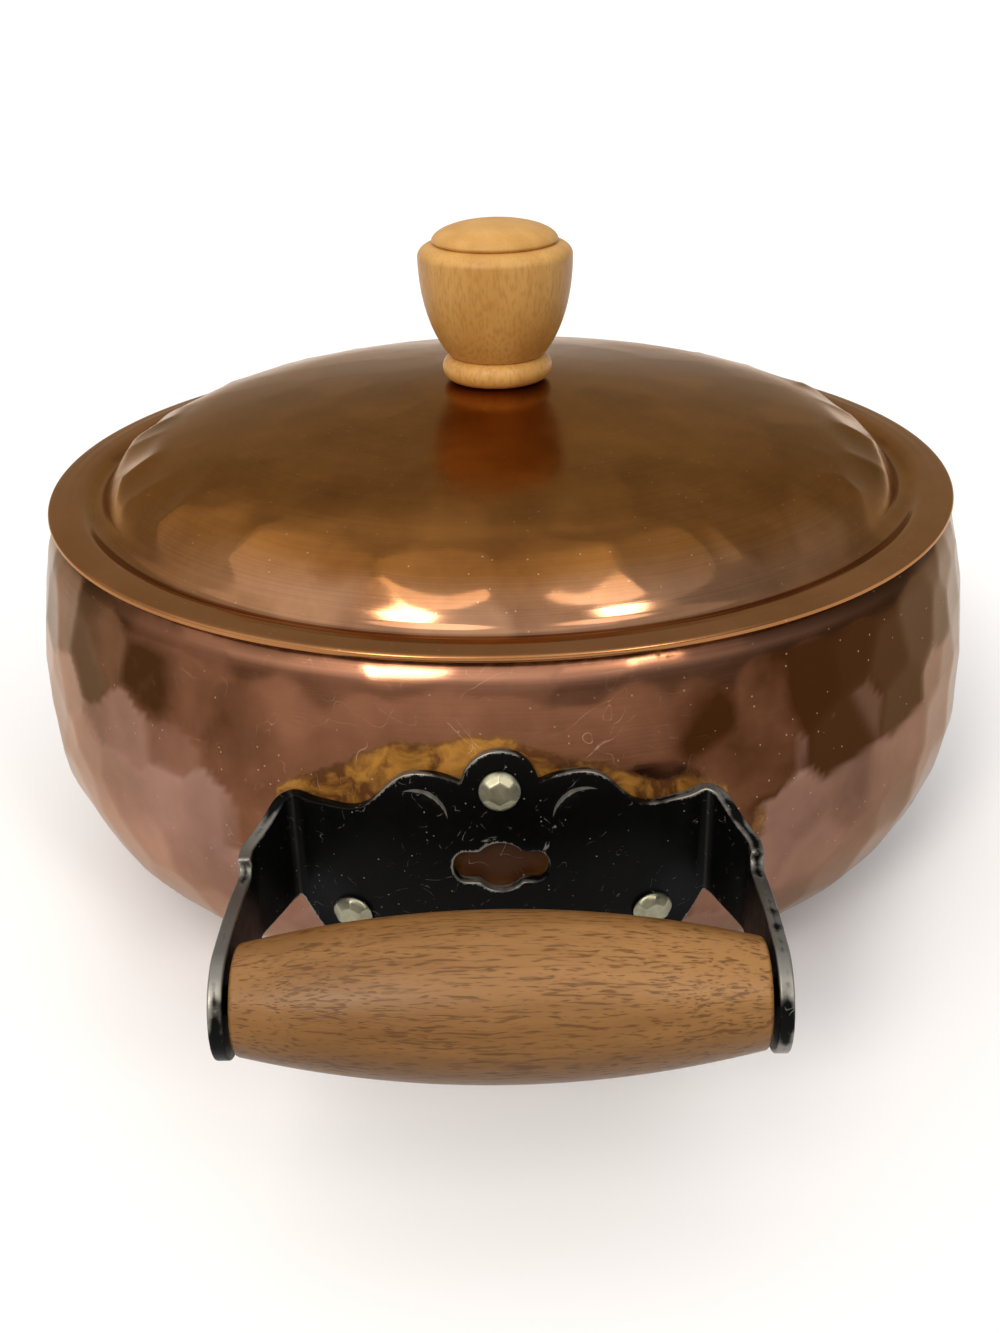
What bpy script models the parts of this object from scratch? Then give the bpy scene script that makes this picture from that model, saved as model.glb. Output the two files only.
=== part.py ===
# Hammered copper casserole with a lift-off lid, a turned knob and two wood-gripped handles.
# Metres, +Z up. The origin is the middle of the flat base, and the handles lie along -Y and +Y.

import math

import bmesh
import bpy
from mathutils import Matrix, Vector
from mathutils.geometry import interpolate_bezier

# Clearances
fit_gap = 0.0003            # between pieces that touch
running_gap = 0.0004        # round the rod that a grip turns on
overrun = 0.004             # how far a cutter runs past what it cuts

# Bowl: flat base, rounded lower corner, belly, and a shoulder that rolls in to the mouth
base_radius = 0.070
belly_radius = 0.1156
mouth_inset = 0.0085        # the mouth's radius is this much less than the belly's
shoulder_inset = 0.0034     # how much of that the shoulder takes
shoulder_height = 0.0062
belly_height = 0.046
bowl_height = 0.0922
bowl_wall = 0.002

# Lid: shallow crown, tight shoulder, groove that drops into the mouth, flat flange
flange_overhang = 0.0029    # past the mouth
lid_sheet = 0.0015
flange_width = 0.0064
groove_width = 0.0046
groove_depth = 0.0018
dome_foot_width = 0.0052
dome_inset = 0.0020         # from the groove's middle to the end of the dome's curve
dome_height = 0.0216
crown_share = 0.52          # how much of the dome's height the crown takes, the shoulder the rest
crown_power = 1.25          # power of the crown's curve, 1 is a cone
shoulder_power = 9.0
seat_inset = 0.0013         # the flat seat in the middle is this much smaller than the collar

# Knob, turned from one piece of wood
knob_radius = 0.0184
knob_height = 0.0368
knob_cap_radius = 0.0150
knob_cap_height = 0.0040
knob_groove_depth = 0.0005
knob_shoulder_width = 0.0044
knob_shoulder_drop = 0.0030
knob_neck_radius = 0.0114
knob_collar_radius = 0.0133
knob_collar_height = 0.0060

# Screw and washer that hold the knob from inside the lid
screw_radius = 0.0020
screw_reach = 0.0160        # how far the screw enters the knob
screw_head_radius = 0.0040
screw_head_height = 0.0024
screw_slot_width = 0.0010
screw_slot_depth = 0.0012
washer_radius = 0.0070
washer_thickness = 0.0010

# Grip, a turned barrel on a steel rod
grip_length = 0.091
grip_middle_radius = 0.0148
grip_end_radius = 0.0095
grip_edge_round = 0.0010
finger_gap = 0.0236         # between the belly and the grip
grip_height = 0.050
grip_end_play = 0.0008      # between each end of the grip and its ear
rod_radius = 0.0025
rod_end_radius = 0.0042
rod_end_height = 0.0013

# Bracket, pressed from steel sheet
bracket_sheet = 0.0025
fold_distance = 0.0415      # from the middle to the fold, round the wall
fold_radius = 0.0026        # inside radius of the fold
splay_angle = math.radians(24.0)
ear_bend_radius = 0.0060
ear_radius = 0.0102
easing_width = 0.0060       # where the plate leaves the wall before its fold

# Heights and half widths on the bracket's outline, heights from the pot's base
arch_radius = 0.0076
arch_end_angle = math.radians(10.0)
hump_distance = 0.0155
hump_height = 0.0714
dip_distance = 0.0305
dip_height = 0.0631
corner_distance = 0.0405
corner_height = 0.0655
tooth_distance = 0.0023     # past the bend of the ear
tooth_height = 0.0612
notch_height = 0.0578
notch_undercut = 0.0034     # how far the notch reaches back under the tooth
notch_width = 0.0012
vee_height = 0.0422
vee_radius = 0.0008
tab_radius = 0.0085
plate_bottom_height = 0.0350

# Pierced opening in the middle of the plate: a long slot with a round bulge above and below
slot_height = 0.0521
slot_half_length = 0.0093
slot_half_height = 0.0033
slot_end_width = 0.0025
bulge_half_width = 0.0041
bulge_rise = 0.0020

# Struck crescents beside the top rivet, given by their two tips
crescent_high_tip = (0.0190, 0.0674)
crescent_low_tip = (0.0100, 0.0622)
crescent_outer_rise = 0.0031
crescent_inner_rise = 0.0021
crescent_depth = 0.0005

# Rivets
top_rivet_height = 0.0684
side_rivet_height = 0.0401
side_rivet_distance = 0.0297
rivet_radius = 0.0020
rivet_head_radius = 0.0040
rivet_head_edge = 0.0006
rivet_head_height = 0.0019
rivet_flat_radius = 0.0021
rivet_tail_radius = 0.0044
rivet_tail_height = 0.0012
rivet_tail_gap = 0.0007     # the flat tail head stands this far off the hollow wall

# Tolerances
weld_distance = 0.00001     # points nearer than this are one point
smooth_angle = math.radians(30.0)
facet_angle = math.radians(20.0)

# Numbers of steps
round_steps = 60
turned_steps = 20
small_steps = 12
corner_steps = 8
wall_steps = 4
shoulder_steps = 3
dome_steps = 8

# The two handles and how far each is turned round the pot
handle_sides = [("front", 0.0), ("rear", math.pi)]

# Sizes that follow from the ones above
mouth_radius = belly_radius - mouth_inset
lid_radius = mouth_radius + flange_overhang
grip_reach = belly_radius + finger_gap + grip_middle_radius
bracket_mid_radius = belly_radius + fit_gap + bracket_sheet / 2
fold_mid_radius = fold_radius + bracket_sheet / 2
ear_bend_mid_radius = ear_bend_radius + bracket_sheet / 2
ear_plane = grip_length / 2 + grip_end_play + bracket_sheet / 2
flange_top = bowl_height + fit_gap + lid_sheet
dome_top = flange_top + dome_height


def arc_points(centre, radii, start, end, count):
    """Points along an elliptical arc, with both ends, angles in radians."""
    turns = [start + (end - start) * i / count for i in range(count + 1)]
    return [(centre[0] + radii[0] * math.cos(a), centre[1] + radii[1] * math.sin(a)) for a in turns]


def curve_points(start, start_handle, end_handle, end, count):
    """Points along a Bezier curve, with both ends."""
    knots = [Vector((p[0], p[1])) for p in (start, start_handle, end_handle, end)]
    return [(p[0], p[1]) for p in interpolate_bezier(*knots, count + 1)]


def joined(*runs):
    """One list of points from several runs, without the points that two runs share."""
    points = []
    for run in runs:
        for point in run:
            if not points or math.dist(point, points[-1]) > weld_distance:
                points.append(point)
    return points


def make_material(name, colour, roughness, metallic):
    """A Principled BSDF material with one colour."""
    material = bpy.data.materials.new(name)
    material.use_nodes = True
    shader = material.node_tree.nodes["Principled BSDF"]
    shader.inputs["Base Color"].default_value = (*colour, 1.0)
    shader.inputs["Roughness"].default_value = roughness
    shader.inputs["Metallic"].default_value = metallic
    material.diffuse_color = (*colour, 1.0)
    return material


def add_object(name, mesh, material=None):
    """Link a mesh to the scene as a named object."""
    item = bpy.data.objects.new(name, mesh)
    bpy.context.scene.collection.objects.link(item)
    if material and not mesh.materials:
        mesh.materials.append(material)
    return item


def finished_mesh(name, bm, sharp_angle=smooth_angle):
    """Turn a bmesh into a mesh, round faces smooth and real edges sharp."""
    bmesh.ops.recalc_face_normals(bm, faces=bm.faces)
    if bm.calc_volume(signed=True) < 0.0:
        bmesh.ops.reverse_faces(bm, faces=bm.faces)
    mesh = bpy.data.meshes.new(name)
    bm.to_mesh(mesh)
    bm.free()
    mesh.shade_smooth()
    mesh.set_sharp_from_angle(angle=sharp_angle)
    return mesh


def turned(name, profile, steps, material, closed=False):
    """Turn a profile of (radius, height) points round Z. It runs down its outer side."""
    mesh = bpy.data.meshes.new(name)
    edges = [(i, i + 1) for i in range(len(profile) - 1)]
    if closed:
        edges.append((len(profile) - 1, 0))
    mesh.from_pydata([(r, 0.0, z) for r, z in profile], edges, [])
    item = add_object(name, mesh, material)
    screw = item.modifiers.new("Turn", "SCREW")
    screw.axis = "Z"
    screw.steps = steps
    screw.render_steps = steps
    screw.use_merge_vertices = True
    screw.merge_threshold = weld_distance
    screw.use_smooth_shade = True
    return item


def cutter(name, radius, length, matrix):
    """A round bar that only cuts."""
    bm = bmesh.new()
    bmesh.ops.create_cone(bm, cap_ends=True, segments=small_steps, radius1=radius, radius2=radius,
                          depth=length, matrix=matrix)
    item = add_object(name, finished_mesh(name, bm))
    item.hide_render = True
    item.display_type = "WIRE"
    return item


def cut(item, tool):
    """Cut an object with a tool."""
    boolean = item.modifiers.new("Cut " + tool.name, "BOOLEAN")
    boolean.operation = "DIFFERENCE"
    boolean.solver = "EXACT"
    boolean.object = tool


# Bowl

corner_width = belly_radius - base_radius
shoulder_foot = bowl_height - shoulder_height
wall_rise = shoulder_foot - belly_height
wall_inset = mouth_inset - shoulder_inset
upper_wall_radius = (wall_rise ** 2 + wall_inset ** 2) / (2 * wall_inset)
foot_lean = math.asin(wall_rise / upper_wall_radius)
shoulder_bow = shoulder_inset * math.cos(foot_lean) - shoulder_height * math.sin(foot_lean)
shoulder_radius = (shoulder_inset ** 2 + shoulder_height ** 2) / (2 * shoulder_bow)
shoulder_centre = (mouth_radius + shoulder_inset - shoulder_radius * math.cos(foot_lean),
                   shoulder_foot - shoulder_radius * math.sin(foot_lean))


def wall_frame(height):
    """Radius of the bowl's outer wall at a height, and how far its normal leans up."""
    if height >= shoulder_foot:
        lean = math.asin((height - shoulder_centre[1]) / shoulder_radius)
        return shoulder_centre[0] + shoulder_radius * math.cos(lean), lean
    if height >= belly_height:
        lean = math.asin((height - belly_height) / upper_wall_radius)
        return belly_radius - upper_wall_radius * (1 - math.cos(lean)), lean
    turn = math.acos((belly_height - height) / belly_height)
    lean = -math.atan2(math.cos(turn) / belly_height, math.sin(turn) / corner_width)
    return base_radius + corner_width * math.sin(turn), lean


def bowl_outer():
    """Outer profile from the rim down to the middle of the base."""
    heights = [bowl_height - shoulder_height * i / shoulder_steps for i in range(shoulder_steps)]
    heights += [shoulder_foot - wall_rise * i / wall_steps for i in range(wall_steps)]
    wall = [(wall_frame(h)[0], h) for h in heights]
    corner = arc_points((base_radius, belly_height), (corner_width, belly_height),
                        0.0, -math.pi / 2, corner_steps)
    return joined(wall, corner, [(0.0, 0.0)])


def bowl_inner():
    """Inner profile from the middle of the base up to the rim, one wall inside the outer one."""
    corner = arc_points((base_radius, belly_height),
                        (corner_width - bowl_wall, belly_height - bowl_wall),
                        -math.pi / 2, 0.0, corner_steps)
    inside = upper_wall_radius - bowl_wall
    wall = arc_points((belly_radius - upper_wall_radius, belly_height), (inside, inside),
                      0.0, foot_lean, wall_steps)
    inside = shoulder_radius - bowl_wall
    rim_lean = math.asin((bowl_height - shoulder_centre[1]) / inside)
    shoulder = arc_points(shoulder_centre, (inside, inside), foot_lean, rim_lean, shoulder_steps)
    return joined([(0.0, bowl_wall)], corner, wall, shoulder)


def rivet_places():
    """Name, distance round the wall and height of the three rivets of one handle."""
    return [("top", 0.0, top_rivet_height),
            ("left", -side_rivet_distance, side_rivet_height),
            ("right", side_rivet_distance, side_rivet_height)]


def rivet_matrix(distance, height, side):
    """Place of a rivet: local Z stands square on the wall, with its zero at the outer face."""
    radius, lean = wall_frame(height)
    turn = distance / bracket_mid_radius
    along = Vector((math.sin(turn), -math.cos(turn), 0.0))
    outward = along * math.cos(lean) + Vector((0.0, 0.0, math.sin(lean)))
    sideways = Vector((math.cos(turn), math.sin(turn), 0.0))
    place = Matrix.Translation(along * radius + Vector((0.0, 0.0, height)))
    axes = Matrix((sideways, outward.cross(sideways), outward)).transposed().to_4x4()
    return Matrix.Rotation(side, 4, "Z") @ place @ axes


def make_bowl(material):
    """The bowl, with a hole for each rivet."""
    bowl = turned("pot_bowl", bowl_inner() + bowl_outer(), round_steps, material)
    for side_name, side in handle_sides:
        for name, distance, height in rivet_places():
            place = rivet_matrix(distance, height, side)
            tool = cutter("cut_" + side_name + "_" + name, rivet_radius + fit_gap,
                          2 * (bowl_wall + overrun), place)
            cut(bowl, tool)
    return bowl


# Lid

flange_inner = lid_radius - flange_width
groove_middle = flange_inner - groove_width
dome_radius = groove_middle - dome_inset
seat_radius = knob_collar_radius - seat_inset


def dome_line(radius):
    """Height of the dome's top face at a radius outside the seat."""
    place = (radius - seat_radius) / (dome_radius - seat_radius)
    fall = crown_share * place ** crown_power + (1 - crown_share) * place ** shoulder_power
    return flange_top + dome_height * (1 - fall)


def dome_slope(radius):
    """Slope of the dome's top face at a radius outside the seat."""
    place = (radius - seat_radius) / (dome_radius - seat_radius)
    crown = crown_share * crown_power * place ** (crown_power - 1)
    shoulder = (1 - crown_share) * shoulder_power * place ** (shoulder_power - 1)
    return -dome_height * (crown + shoulder) / (dome_radius - seat_radius)


def lid_top():
    """Top face from the screw hole out to the edge, closer points on the shoulder."""
    dome_end = groove_middle - dome_foot_width
    shares = [(i / dome_steps) ** 0.55 for i in range(dome_steps + 1)]
    radii = [seat_radius + (dome_end - seat_radius) * share for share in shares]
    dome = [(screw_radius + fit_gap, dome_top)] + [(r, dome_line(r)) for r in radii]
    groove_level = flange_top - groove_depth
    reach = dome_foot_width / 2
    foot = curve_points(dome[-1], (dome_end + reach, dome[-1][1] + reach * dome_slope(dome_end)),
                        (groove_middle - reach, groove_level), (groove_middle, groove_level), 3)
    reach = groove_width / 2
    rise = curve_points((groove_middle, groove_level), (groove_middle + reach, groove_level),
                        (flange_inner - reach, flange_top), (flange_inner, flange_top), 4)
    flange = [(flange_inner, flange_top), (lid_radius, flange_top)]
    return joined(dome, foot, rise, flange)


def offset_below(points, distance):
    """The same line moved square to itself, to its lower side."""
    moved = []
    for i, (r, z) in enumerate(points):
        before = Vector(points[max(i - 1, 0)])
        after = Vector(points[min(i + 1, len(points) - 1)])
        along = (after - before).normalized()
        moved.append((r + along[1] * distance, z - along[0] * distance))
    moved[0] = (points[0][0], moved[0][1])
    moved[-1] = (points[-1][0], moved[-1][1])
    return moved


def make_lid(material):
    """The lid, one formed sheet with a hole for the knob's screw."""
    top = lid_top()
    return turned("lid_shell", top + offset_below(top, lid_sheet)[::-1], round_steps, material,
                  closed=True)


# Knob and its fixing

def make_knob(material):
    """The knob: cap, groove, shoulder, tapering body, neck and collar, with a blind screw hole."""
    foot = dome_top + fit_gap
    top = foot + knob_height
    cap_edge = top - knob_cap_height
    cap = arc_points((0.0, cap_edge), (knob_cap_radius, knob_cap_height), math.pi / 2, 0.0, 6)
    groove_radius = knob_cap_radius - knob_groove_depth
    groove = [(groove_radius, cap_edge - knob_groove_depth)]
    shoulder = arc_points((knob_radius - knob_shoulder_width, groove[0][1] - knob_shoulder_drop),
                          (knob_shoulder_width, knob_shoulder_drop), math.pi / 2, 0.0, 5)
    collar_top = foot + knob_collar_height
    waist = (knob_neck_radius, collar_top)
    belly_drop = (shoulder[-1][1] - collar_top) / 2
    body = curve_points(shoulder[-1], (knob_radius, shoulder[-1][1] - belly_drop),
                        (knob_neck_radius + (knob_radius - knob_neck_radius) / 2,
                         collar_top + belly_drop / 3), waist, 6)
    half = knob_collar_height / 2
    collar = arc_points((knob_collar_radius - half, foot + half), (half, half),
                        math.pi / 2, -math.pi / 2, 6)
    hole_radius = screw_radius + fit_gap
    hole = [(hole_radius, foot), (hole_radius, foot + screw_reach), (0.0, foot + screw_reach)]
    return turned("lid_knob", joined(cap, groove, shoulder, body, collar, hole), turned_steps,
                  material)


def make_screw(material):
    """Slotted screw, its head under the lid and its shank up in the knob."""
    washer_top = dome_top - lid_sheet - fit_gap
    seat = washer_top - washer_thickness - fit_gap
    tip = dome_top + screw_reach - fit_gap
    head = arc_points((0.0, seat - screw_head_height / 3),
                      (screw_head_radius, screw_head_height * 2 / 3), 0.0, -math.pi / 2, 4)
    profile = [(0.0, tip), (screw_radius / 2, tip), (screw_radius, tip - screw_radius),
               (screw_radius, seat), (screw_head_radius, seat)]
    screw = turned("knob_screw", joined(profile, head), small_steps, material)
    bm = bmesh.new()
    bmesh.ops.create_cube(bm, size=1.0)
    across = 2 * (screw_head_radius + overrun)
    bmesh.ops.scale(bm, vec=(across, screw_slot_width, 2 * screw_slot_depth), verts=bm.verts)
    bmesh.ops.translate(bm, vec=(0.0, 0.0, seat - screw_head_height), verts=bm.verts)
    tool = add_object("cut_screw_slot", finished_mesh("cut_screw_slot", bm))
    tool.hide_render = True
    tool.display_type = "WIRE"
    cut(screw, tool)
    return screw


def make_washer(material):
    """Flat washer between the screw's head and the lid."""
    top = dome_top - lid_sheet - fit_gap
    bottom = top - washer_thickness
    hole = screw_radius + fit_gap
    profile = [(hole, top), (washer_radius, top), (washer_radius, bottom), (hole, bottom)]
    return turned("knob_washer", profile, turned_steps, material, closed=True)


# Bracket

class BracketPath:
    """The bracket seen from above, for distances measured along the flat sheet."""

    def __init__(self):
        self.plate_turn = self.fold_turn = 0.0
        self.fold_start = fold_distance
        for _ in range(8):
            self.plate_turn = self.fold_start / bracket_mid_radius
            self.fold_turn = self.plate_turn + math.pi / 2 - splay_angle
            self.fold_start = fold_distance - fold_mid_radius * self.fold_turn / 2
        self.fold_end = self.fold_start + fold_mid_radius * self.fold_turn
        start = self.outward(self.plate_turn) * bracket_mid_radius
        self.fold_centre = start + self.outward(self.plate_turn) * fold_mid_radius
        self.arm_heading = self.plate_turn - self.fold_turn
        self.arm_start = self.fold_centre - self.outward(self.arm_heading) * fold_mid_radius
        ear_side = self.outward(-math.pi / 2) - self.outward(self.arm_heading)
        bend_shift = -ear_side[0] * ear_bend_mid_radius
        self.arm_length = (ear_plane - self.arm_start[0] - bend_shift) / math.sin(splay_angle)
        self.ear_bend_start = self.fold_end + self.arm_length
        arm_end = self.arm_start + self.ahead(self.arm_heading) * self.arm_length
        self.ear_centre = arm_end + self.outward(self.arm_heading) * ear_bend_mid_radius
        self.ear_start = self.ear_bend_start + ear_bend_mid_radius * splay_angle
        ear_foot = self.ear_centre - self.outward(-math.pi / 2) * ear_bend_mid_radius
        self.ear_foot = ear_foot
        self.rod_distance = self.ear_start + grip_reach + ear_foot[1]

    @staticmethod
    def ahead(heading):
        return Vector((math.cos(heading), math.sin(heading)))

    @staticmethod
    def outward(heading):
        return Vector((math.sin(heading), -math.cos(heading)))

    def place(self, distance):
        """Point in the middle of the sheet, and the direction square to the sheet."""
        if distance <= self.fold_start:
            heading = distance / bracket_mid_radius
            return self.outward(heading) * bracket_mid_radius, self.outward(heading)
        if distance <= self.fold_end:
            heading = self.plate_turn - (distance - self.fold_start) / fold_mid_radius
            return self.fold_centre - self.outward(heading) * fold_mid_radius, self.outward(heading)
        if distance <= self.ear_bend_start:
            along = self.ahead(self.arm_heading) * (distance - self.fold_end)
            return self.arm_start + along, self.outward(self.arm_heading)
        if distance <= self.ear_start:
            heading = self.arm_heading - (distance - self.ear_bend_start) / ear_bend_mid_radius
            return self.ear_centre - self.outward(heading) * ear_bend_mid_radius, self.outward(heading)
        along = self.ahead(-math.pi / 2) * (distance - self.ear_start)
        return self.ear_foot + along, self.outward(-math.pi / 2)

    def formed(self, point):
        """Where a point of the flat blank lies once the bracket is bent to the wall."""
        side = -1.0 if point[0] < 0 else 1.0
        distance, height, depth = abs(point[0]), point[1], point[2]
        middle, square = self.place(distance)
        flat = middle + square * depth
        result = Vector((side * flat[0], flat[1], height))
        ease = min(max((self.fold_start - distance) / easing_width, 0.0), 1.0)
        if ease > 0.0:
            ease = ease * ease * (3 - 2 * ease)
            radius, lean = wall_frame(height)
            off = fit_gap + bracket_sheet / 2 + depth
            reach = radius + off * math.cos(lean)
            on_wall = Vector((side * square[0] * reach, square[1] * reach,
                              height + off * math.sin(lean)))
            result = result.lerp(on_wall, ease)
        return result


def bracket_outline(path):
    """Right half of the blank's outline, from the top of the arch to the middle of its lower edge."""
    rivet = (0.0, top_rivet_height)
    arch = arc_points(rivet, (arch_radius, arch_radius), math.pi / 2, arch_end_angle, 7)
    hump = (hump_distance, hump_height)
    valley = arch[-1]
    hump_reach = (hump_distance - valley[0]) / 2
    rise = curve_points(valley, (valley[0] + hump_reach / 2, hump_height - hump_reach / 4),
                        (hump_distance - hump_reach, hump_height), hump, 4)
    dip_reach = (dip_distance - hump_distance) / 2
    fall = curve_points(hump, (hump_distance + dip_reach, hump_height),
                        (dip_distance - dip_reach, dip_height), (dip_distance, dip_height), 6)
    corner = (corner_distance, corner_height)
    corner_reach = (corner_distance - dip_distance) / 2
    climb = curve_points((dip_distance, dip_height), (dip_distance + corner_reach, dip_height),
                         (corner_distance - corner_reach / 2, corner_height - corner_reach / 8),
                         corner, 3)
    tooth = (path.ear_start + tooth_distance, tooth_height)
    arm_width = tooth[0] - corner_distance
    shoulder = curve_points(corner, (corner_distance + arm_width / 4, corner_height),
                            (tooth[0] - arm_width / 2, tooth_height), tooth, 6)
    notch = (tooth[0] + notch_width, notch_height)
    hook = curve_points(tooth, (tooth[0] - notch_undercut, (tooth_height + notch_height) / 2),
                        (tooth[0] - notch_undercut / 2, notch_height), notch, 5)
    ear_top = (path.rod_distance, grip_height + ear_radius)
    ear_reach = (ear_top[0] - notch[0]) / 2
    lift = curve_points(notch, (notch[0] + ear_reach / 4, notch_height),
                        (ear_top[0] - ear_reach * 3 / 2, ear_top[1]), ear_top, 5)
    ear = arc_points((path.rod_distance, grip_height), (ear_radius, ear_radius),
                     math.pi / 2, -math.pi / 2, 10)
    vee = arc_points((fold_distance, vee_height - vee_radius), (vee_radius, vee_radius),
                     math.radians(30.0), math.radians(150.0), 2)
    tab = arc_points((side_rivet_distance, side_rivet_height), (tab_radius, tab_radius),
                     math.radians(-35.0), math.radians(-105.0), 5)
    lower = curve_points(tab[-1], (side_rivet_distance * 2 / 3, plate_bottom_height),
                         (side_rivet_distance / 3, plate_bottom_height),
                         (0.0, plate_bottom_height), 5)
    return joined(arch, rise, fall, climb, shoulder, hook, lift, ear, vee, tab, lower)


def pierced_outline():
    """The opening's outline: a long slot with rounded ends, and a round bulge above and below."""
    end = arc_points((slot_half_length - slot_end_width, 0.0), (slot_end_width, slot_half_height),
                     0.0, math.pi / 2, 5)
    bulge_radius = (bulge_half_width ** 2 + bulge_rise ** 2) / (2 * bulge_rise)
    spread = math.asin(bulge_half_width / bulge_radius)
    bulge_centre = (0.0, slot_half_height + bulge_rise - bulge_radius)
    bulge = arc_points(bulge_centre, (bulge_radius, bulge_radius), math.pi / 2 - spread,
                       math.pi / 2, 3)
    quarter = end + bulge
    upper = quarter + [(-x, y) for x, y in quarter[-2::-1]]
    around = upper + [(x, -y) for x, y in upper[-2:0:-1]]
    return [(x, slot_height + y) for x, y in around]


def bowed_line(start, end, rise, count):
    """Points on a shallow bow from start to end that stands off the straight line by rise."""
    along = Vector(end) - Vector(start)
    across = Vector((along[1], -along[0])).normalized()
    places = [i / count for i in range(count + 1)]
    return [tuple(Vector(start) + along * t + across * (4 * rise * t * (1 - t))) for t in places]


def crescent_outline(side):
    """One crescent: two bows between the same tips."""
    outer = bowed_line(crescent_low_tip, crescent_high_tip, -crescent_outer_rise, 6)
    inner = bowed_line(crescent_low_tip, crescent_high_tip, -crescent_inner_rise, 6)
    return [(side * x, y) for x, y in outer + inner[-2:0:-1]]


def round_hole(centre, radius):
    """Outline of a round hole."""
    return arc_points(centre, (radius, radius), 0.0, 2 * math.pi, small_steps)[:-1]


def blank_solid(outline, holes, recesses):
    """The flat punched sheet as a closed solid, with shallow recesses in its front face."""
    bm = bmesh.new()
    front, back = bracket_sheet / 2, -bracket_sheet / 2
    floor = front - crescent_depth

    def loop(points, depth):
        verts = [bm.verts.new((x, y, depth)) for x, y in points]
        return verts, [bm.edges.new((a, b)) for a, b in zip(verts, verts[1:] + verts[:1])]

    def wall(low, high):
        for i in range(len(low)):
            bm.faces.new((low[i - 1], low[i], high[i], high[i - 1]))

    front_edges, back_edges = [], []
    for points in [outline] + holes:
        back_verts, edges = loop(points, back)
        back_edges += edges
        front_verts, edges = loop(points, front)
        front_edges += edges
        wall(back_verts, front_verts)
    for points in recesses:
        floor_verts, edges = loop(points, floor)
        bmesh.ops.triangle_fill(bm, use_beauty=True, edges=edges, normal=(0.0, 0.0, 1.0))
        front_verts, edges = loop(points, front)
        front_edges += edges
        wall(floor_verts, front_verts)
    bmesh.ops.triangle_fill(bm, use_beauty=True, edges=back_edges, normal=(0.0, 0.0, -1.0))
    bmesh.ops.triangle_fill(bm, use_beauty=True, edges=front_edges, normal=(0.0, 0.0, 1.0))
    return bm


def bending_lines(path):
    """Distances and heights where the blank is divided, so that it can bend there."""
    plate = [path.fold_start * i / 4 for i in range(1, 5)]
    fold_length = path.fold_end - path.fold_start
    fold = [path.fold_start + fold_length * i / 4 for i in range(1, 5)]
    ear_bend = path.ear_start - path.ear_bend_start
    bend = [path.ear_bend_start + ear_bend * i / 2 for i in range(3)]
    low = (side_rivet_height + belly_height) / 2
    span = top_rivet_height - belly_height
    heights = [side_rivet_height - tab_radius / 2, low]
    heights += [belly_height + span * i / 3 for i in range(4)]
    return [0.0] + plate + fold + bend, heights


def divide(bm, faces, point, normal):
    """Divide faces where a plane crosses them."""
    edges = {edge for face in faces for edge in face.edges}
    verts = {vert for face in faces for vert in face.verts}
    bmesh.ops.bisect_plane(bm, geom=list(verts) + list(edges) + faces, dist=weld_distance,
                           plane_co=point, plane_no=normal)


def bracket_mesh():
    """Punch the blank, divide it along its bending lines and form it to the bowl."""
    path = BracketPath()
    half = bracket_outline(path)
    outline = half + [(-x, y) for x, y in half[-2:0:-1]]
    holes = [pierced_outline()]
    holes += [round_hole((d, h), rivet_radius + fit_gap) for _, d, h in rivet_places()]
    holes += [round_hole((side * path.rod_distance, grip_height), rod_radius + fit_gap)
              for side in (-1.0, 1.0)]
    bm = blank_solid(outline, holes, [crescent_outline(side) for side in (-1.0, 1.0)])
    distances, heights = bending_lines(path)
    for distance in distances:
        for side in (-1.0, 1.0):
            divide(bm, bm.faces[:], (side * distance, 0.0, 0.0), (1.0, 0.0, 0.0))
    for height in heights:
        plate = [face for face in bm.faces
                 if abs(face.calc_center_median()[0]) < path.fold_start]
        divide(bm, plate, (0.0, height, 0.0), (0.0, 1.0, 0.0))
    bmesh.ops.triangulate(bm, faces=bm.faces)
    for vert in bm.verts:
        vert.co = path.formed(vert.co)
    return finished_mesh("bracket", bm)


def make_bracket(side_name, side, mesh, material):
    """One handle's bracket, turned to its side of the pot."""
    item = add_object(side_name + "_bracket", mesh, material)
    item.rotation_euler = (0.0, 0.0, side)
    return item


# Rivets

def rivet_mesh():
    """Round tail head inside the bowl, shank, and a head hammered to six facets outside."""
    seat = fit_gap + bracket_sheet + fit_gap
    tail = -bowl_wall - rivet_tail_gap
    rings = [(rivet_tail_radius * 2 / 3, tail - rivet_tail_height),
             (rivet_tail_radius, tail - rivet_tail_height / 3),
             (rivet_tail_radius, tail),
             (rivet_radius, tail),
             (rivet_radius, seat),
             (rivet_head_radius, seat),
             (rivet_head_radius, seat + rivet_head_edge),
             (rivet_flat_radius, seat + rivet_head_height)]
    bm = bmesh.new()
    bmesh.ops.create_circle(bm, cap_ends=True, segments=small_steps, radius=rings[0][0],
                            matrix=Matrix.Translation((0.0, 0.0, rings[0][1])))
    ring = bm.edges[:]
    for (old_radius, _), (radius, height) in zip(rings, rings[1:]):
        made = bmesh.ops.extrude_edge_only(bm, edges=ring)["geom"]
        verts = {item for item in made if isinstance(item, bmesh.types.BMVert)}
        for vert in verts:
            share = radius / old_radius
            vert.co = (vert.co.x * share, vert.co.y * share, height)
        ring = [item for item in made if isinstance(item, bmesh.types.BMEdge)
                and verts.issuperset(item.verts)]
    around = sorted(verts, key=lambda vert: math.atan2(vert.co.y, vert.co.x))
    for vert in around[1::2]:
        vert.co.xy *= math.cos(math.pi / 6)
    bm.faces.new(around)
    return finished_mesh("rivet", bm, facet_angle)


def make_rivet(name, distance, height, side, mesh, material):
    """One rivet, square on the wall."""
    item = add_object(name, mesh, material)
    item.matrix_world = rivet_matrix(distance, height, side)
    return item


# Grips and rods

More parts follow.
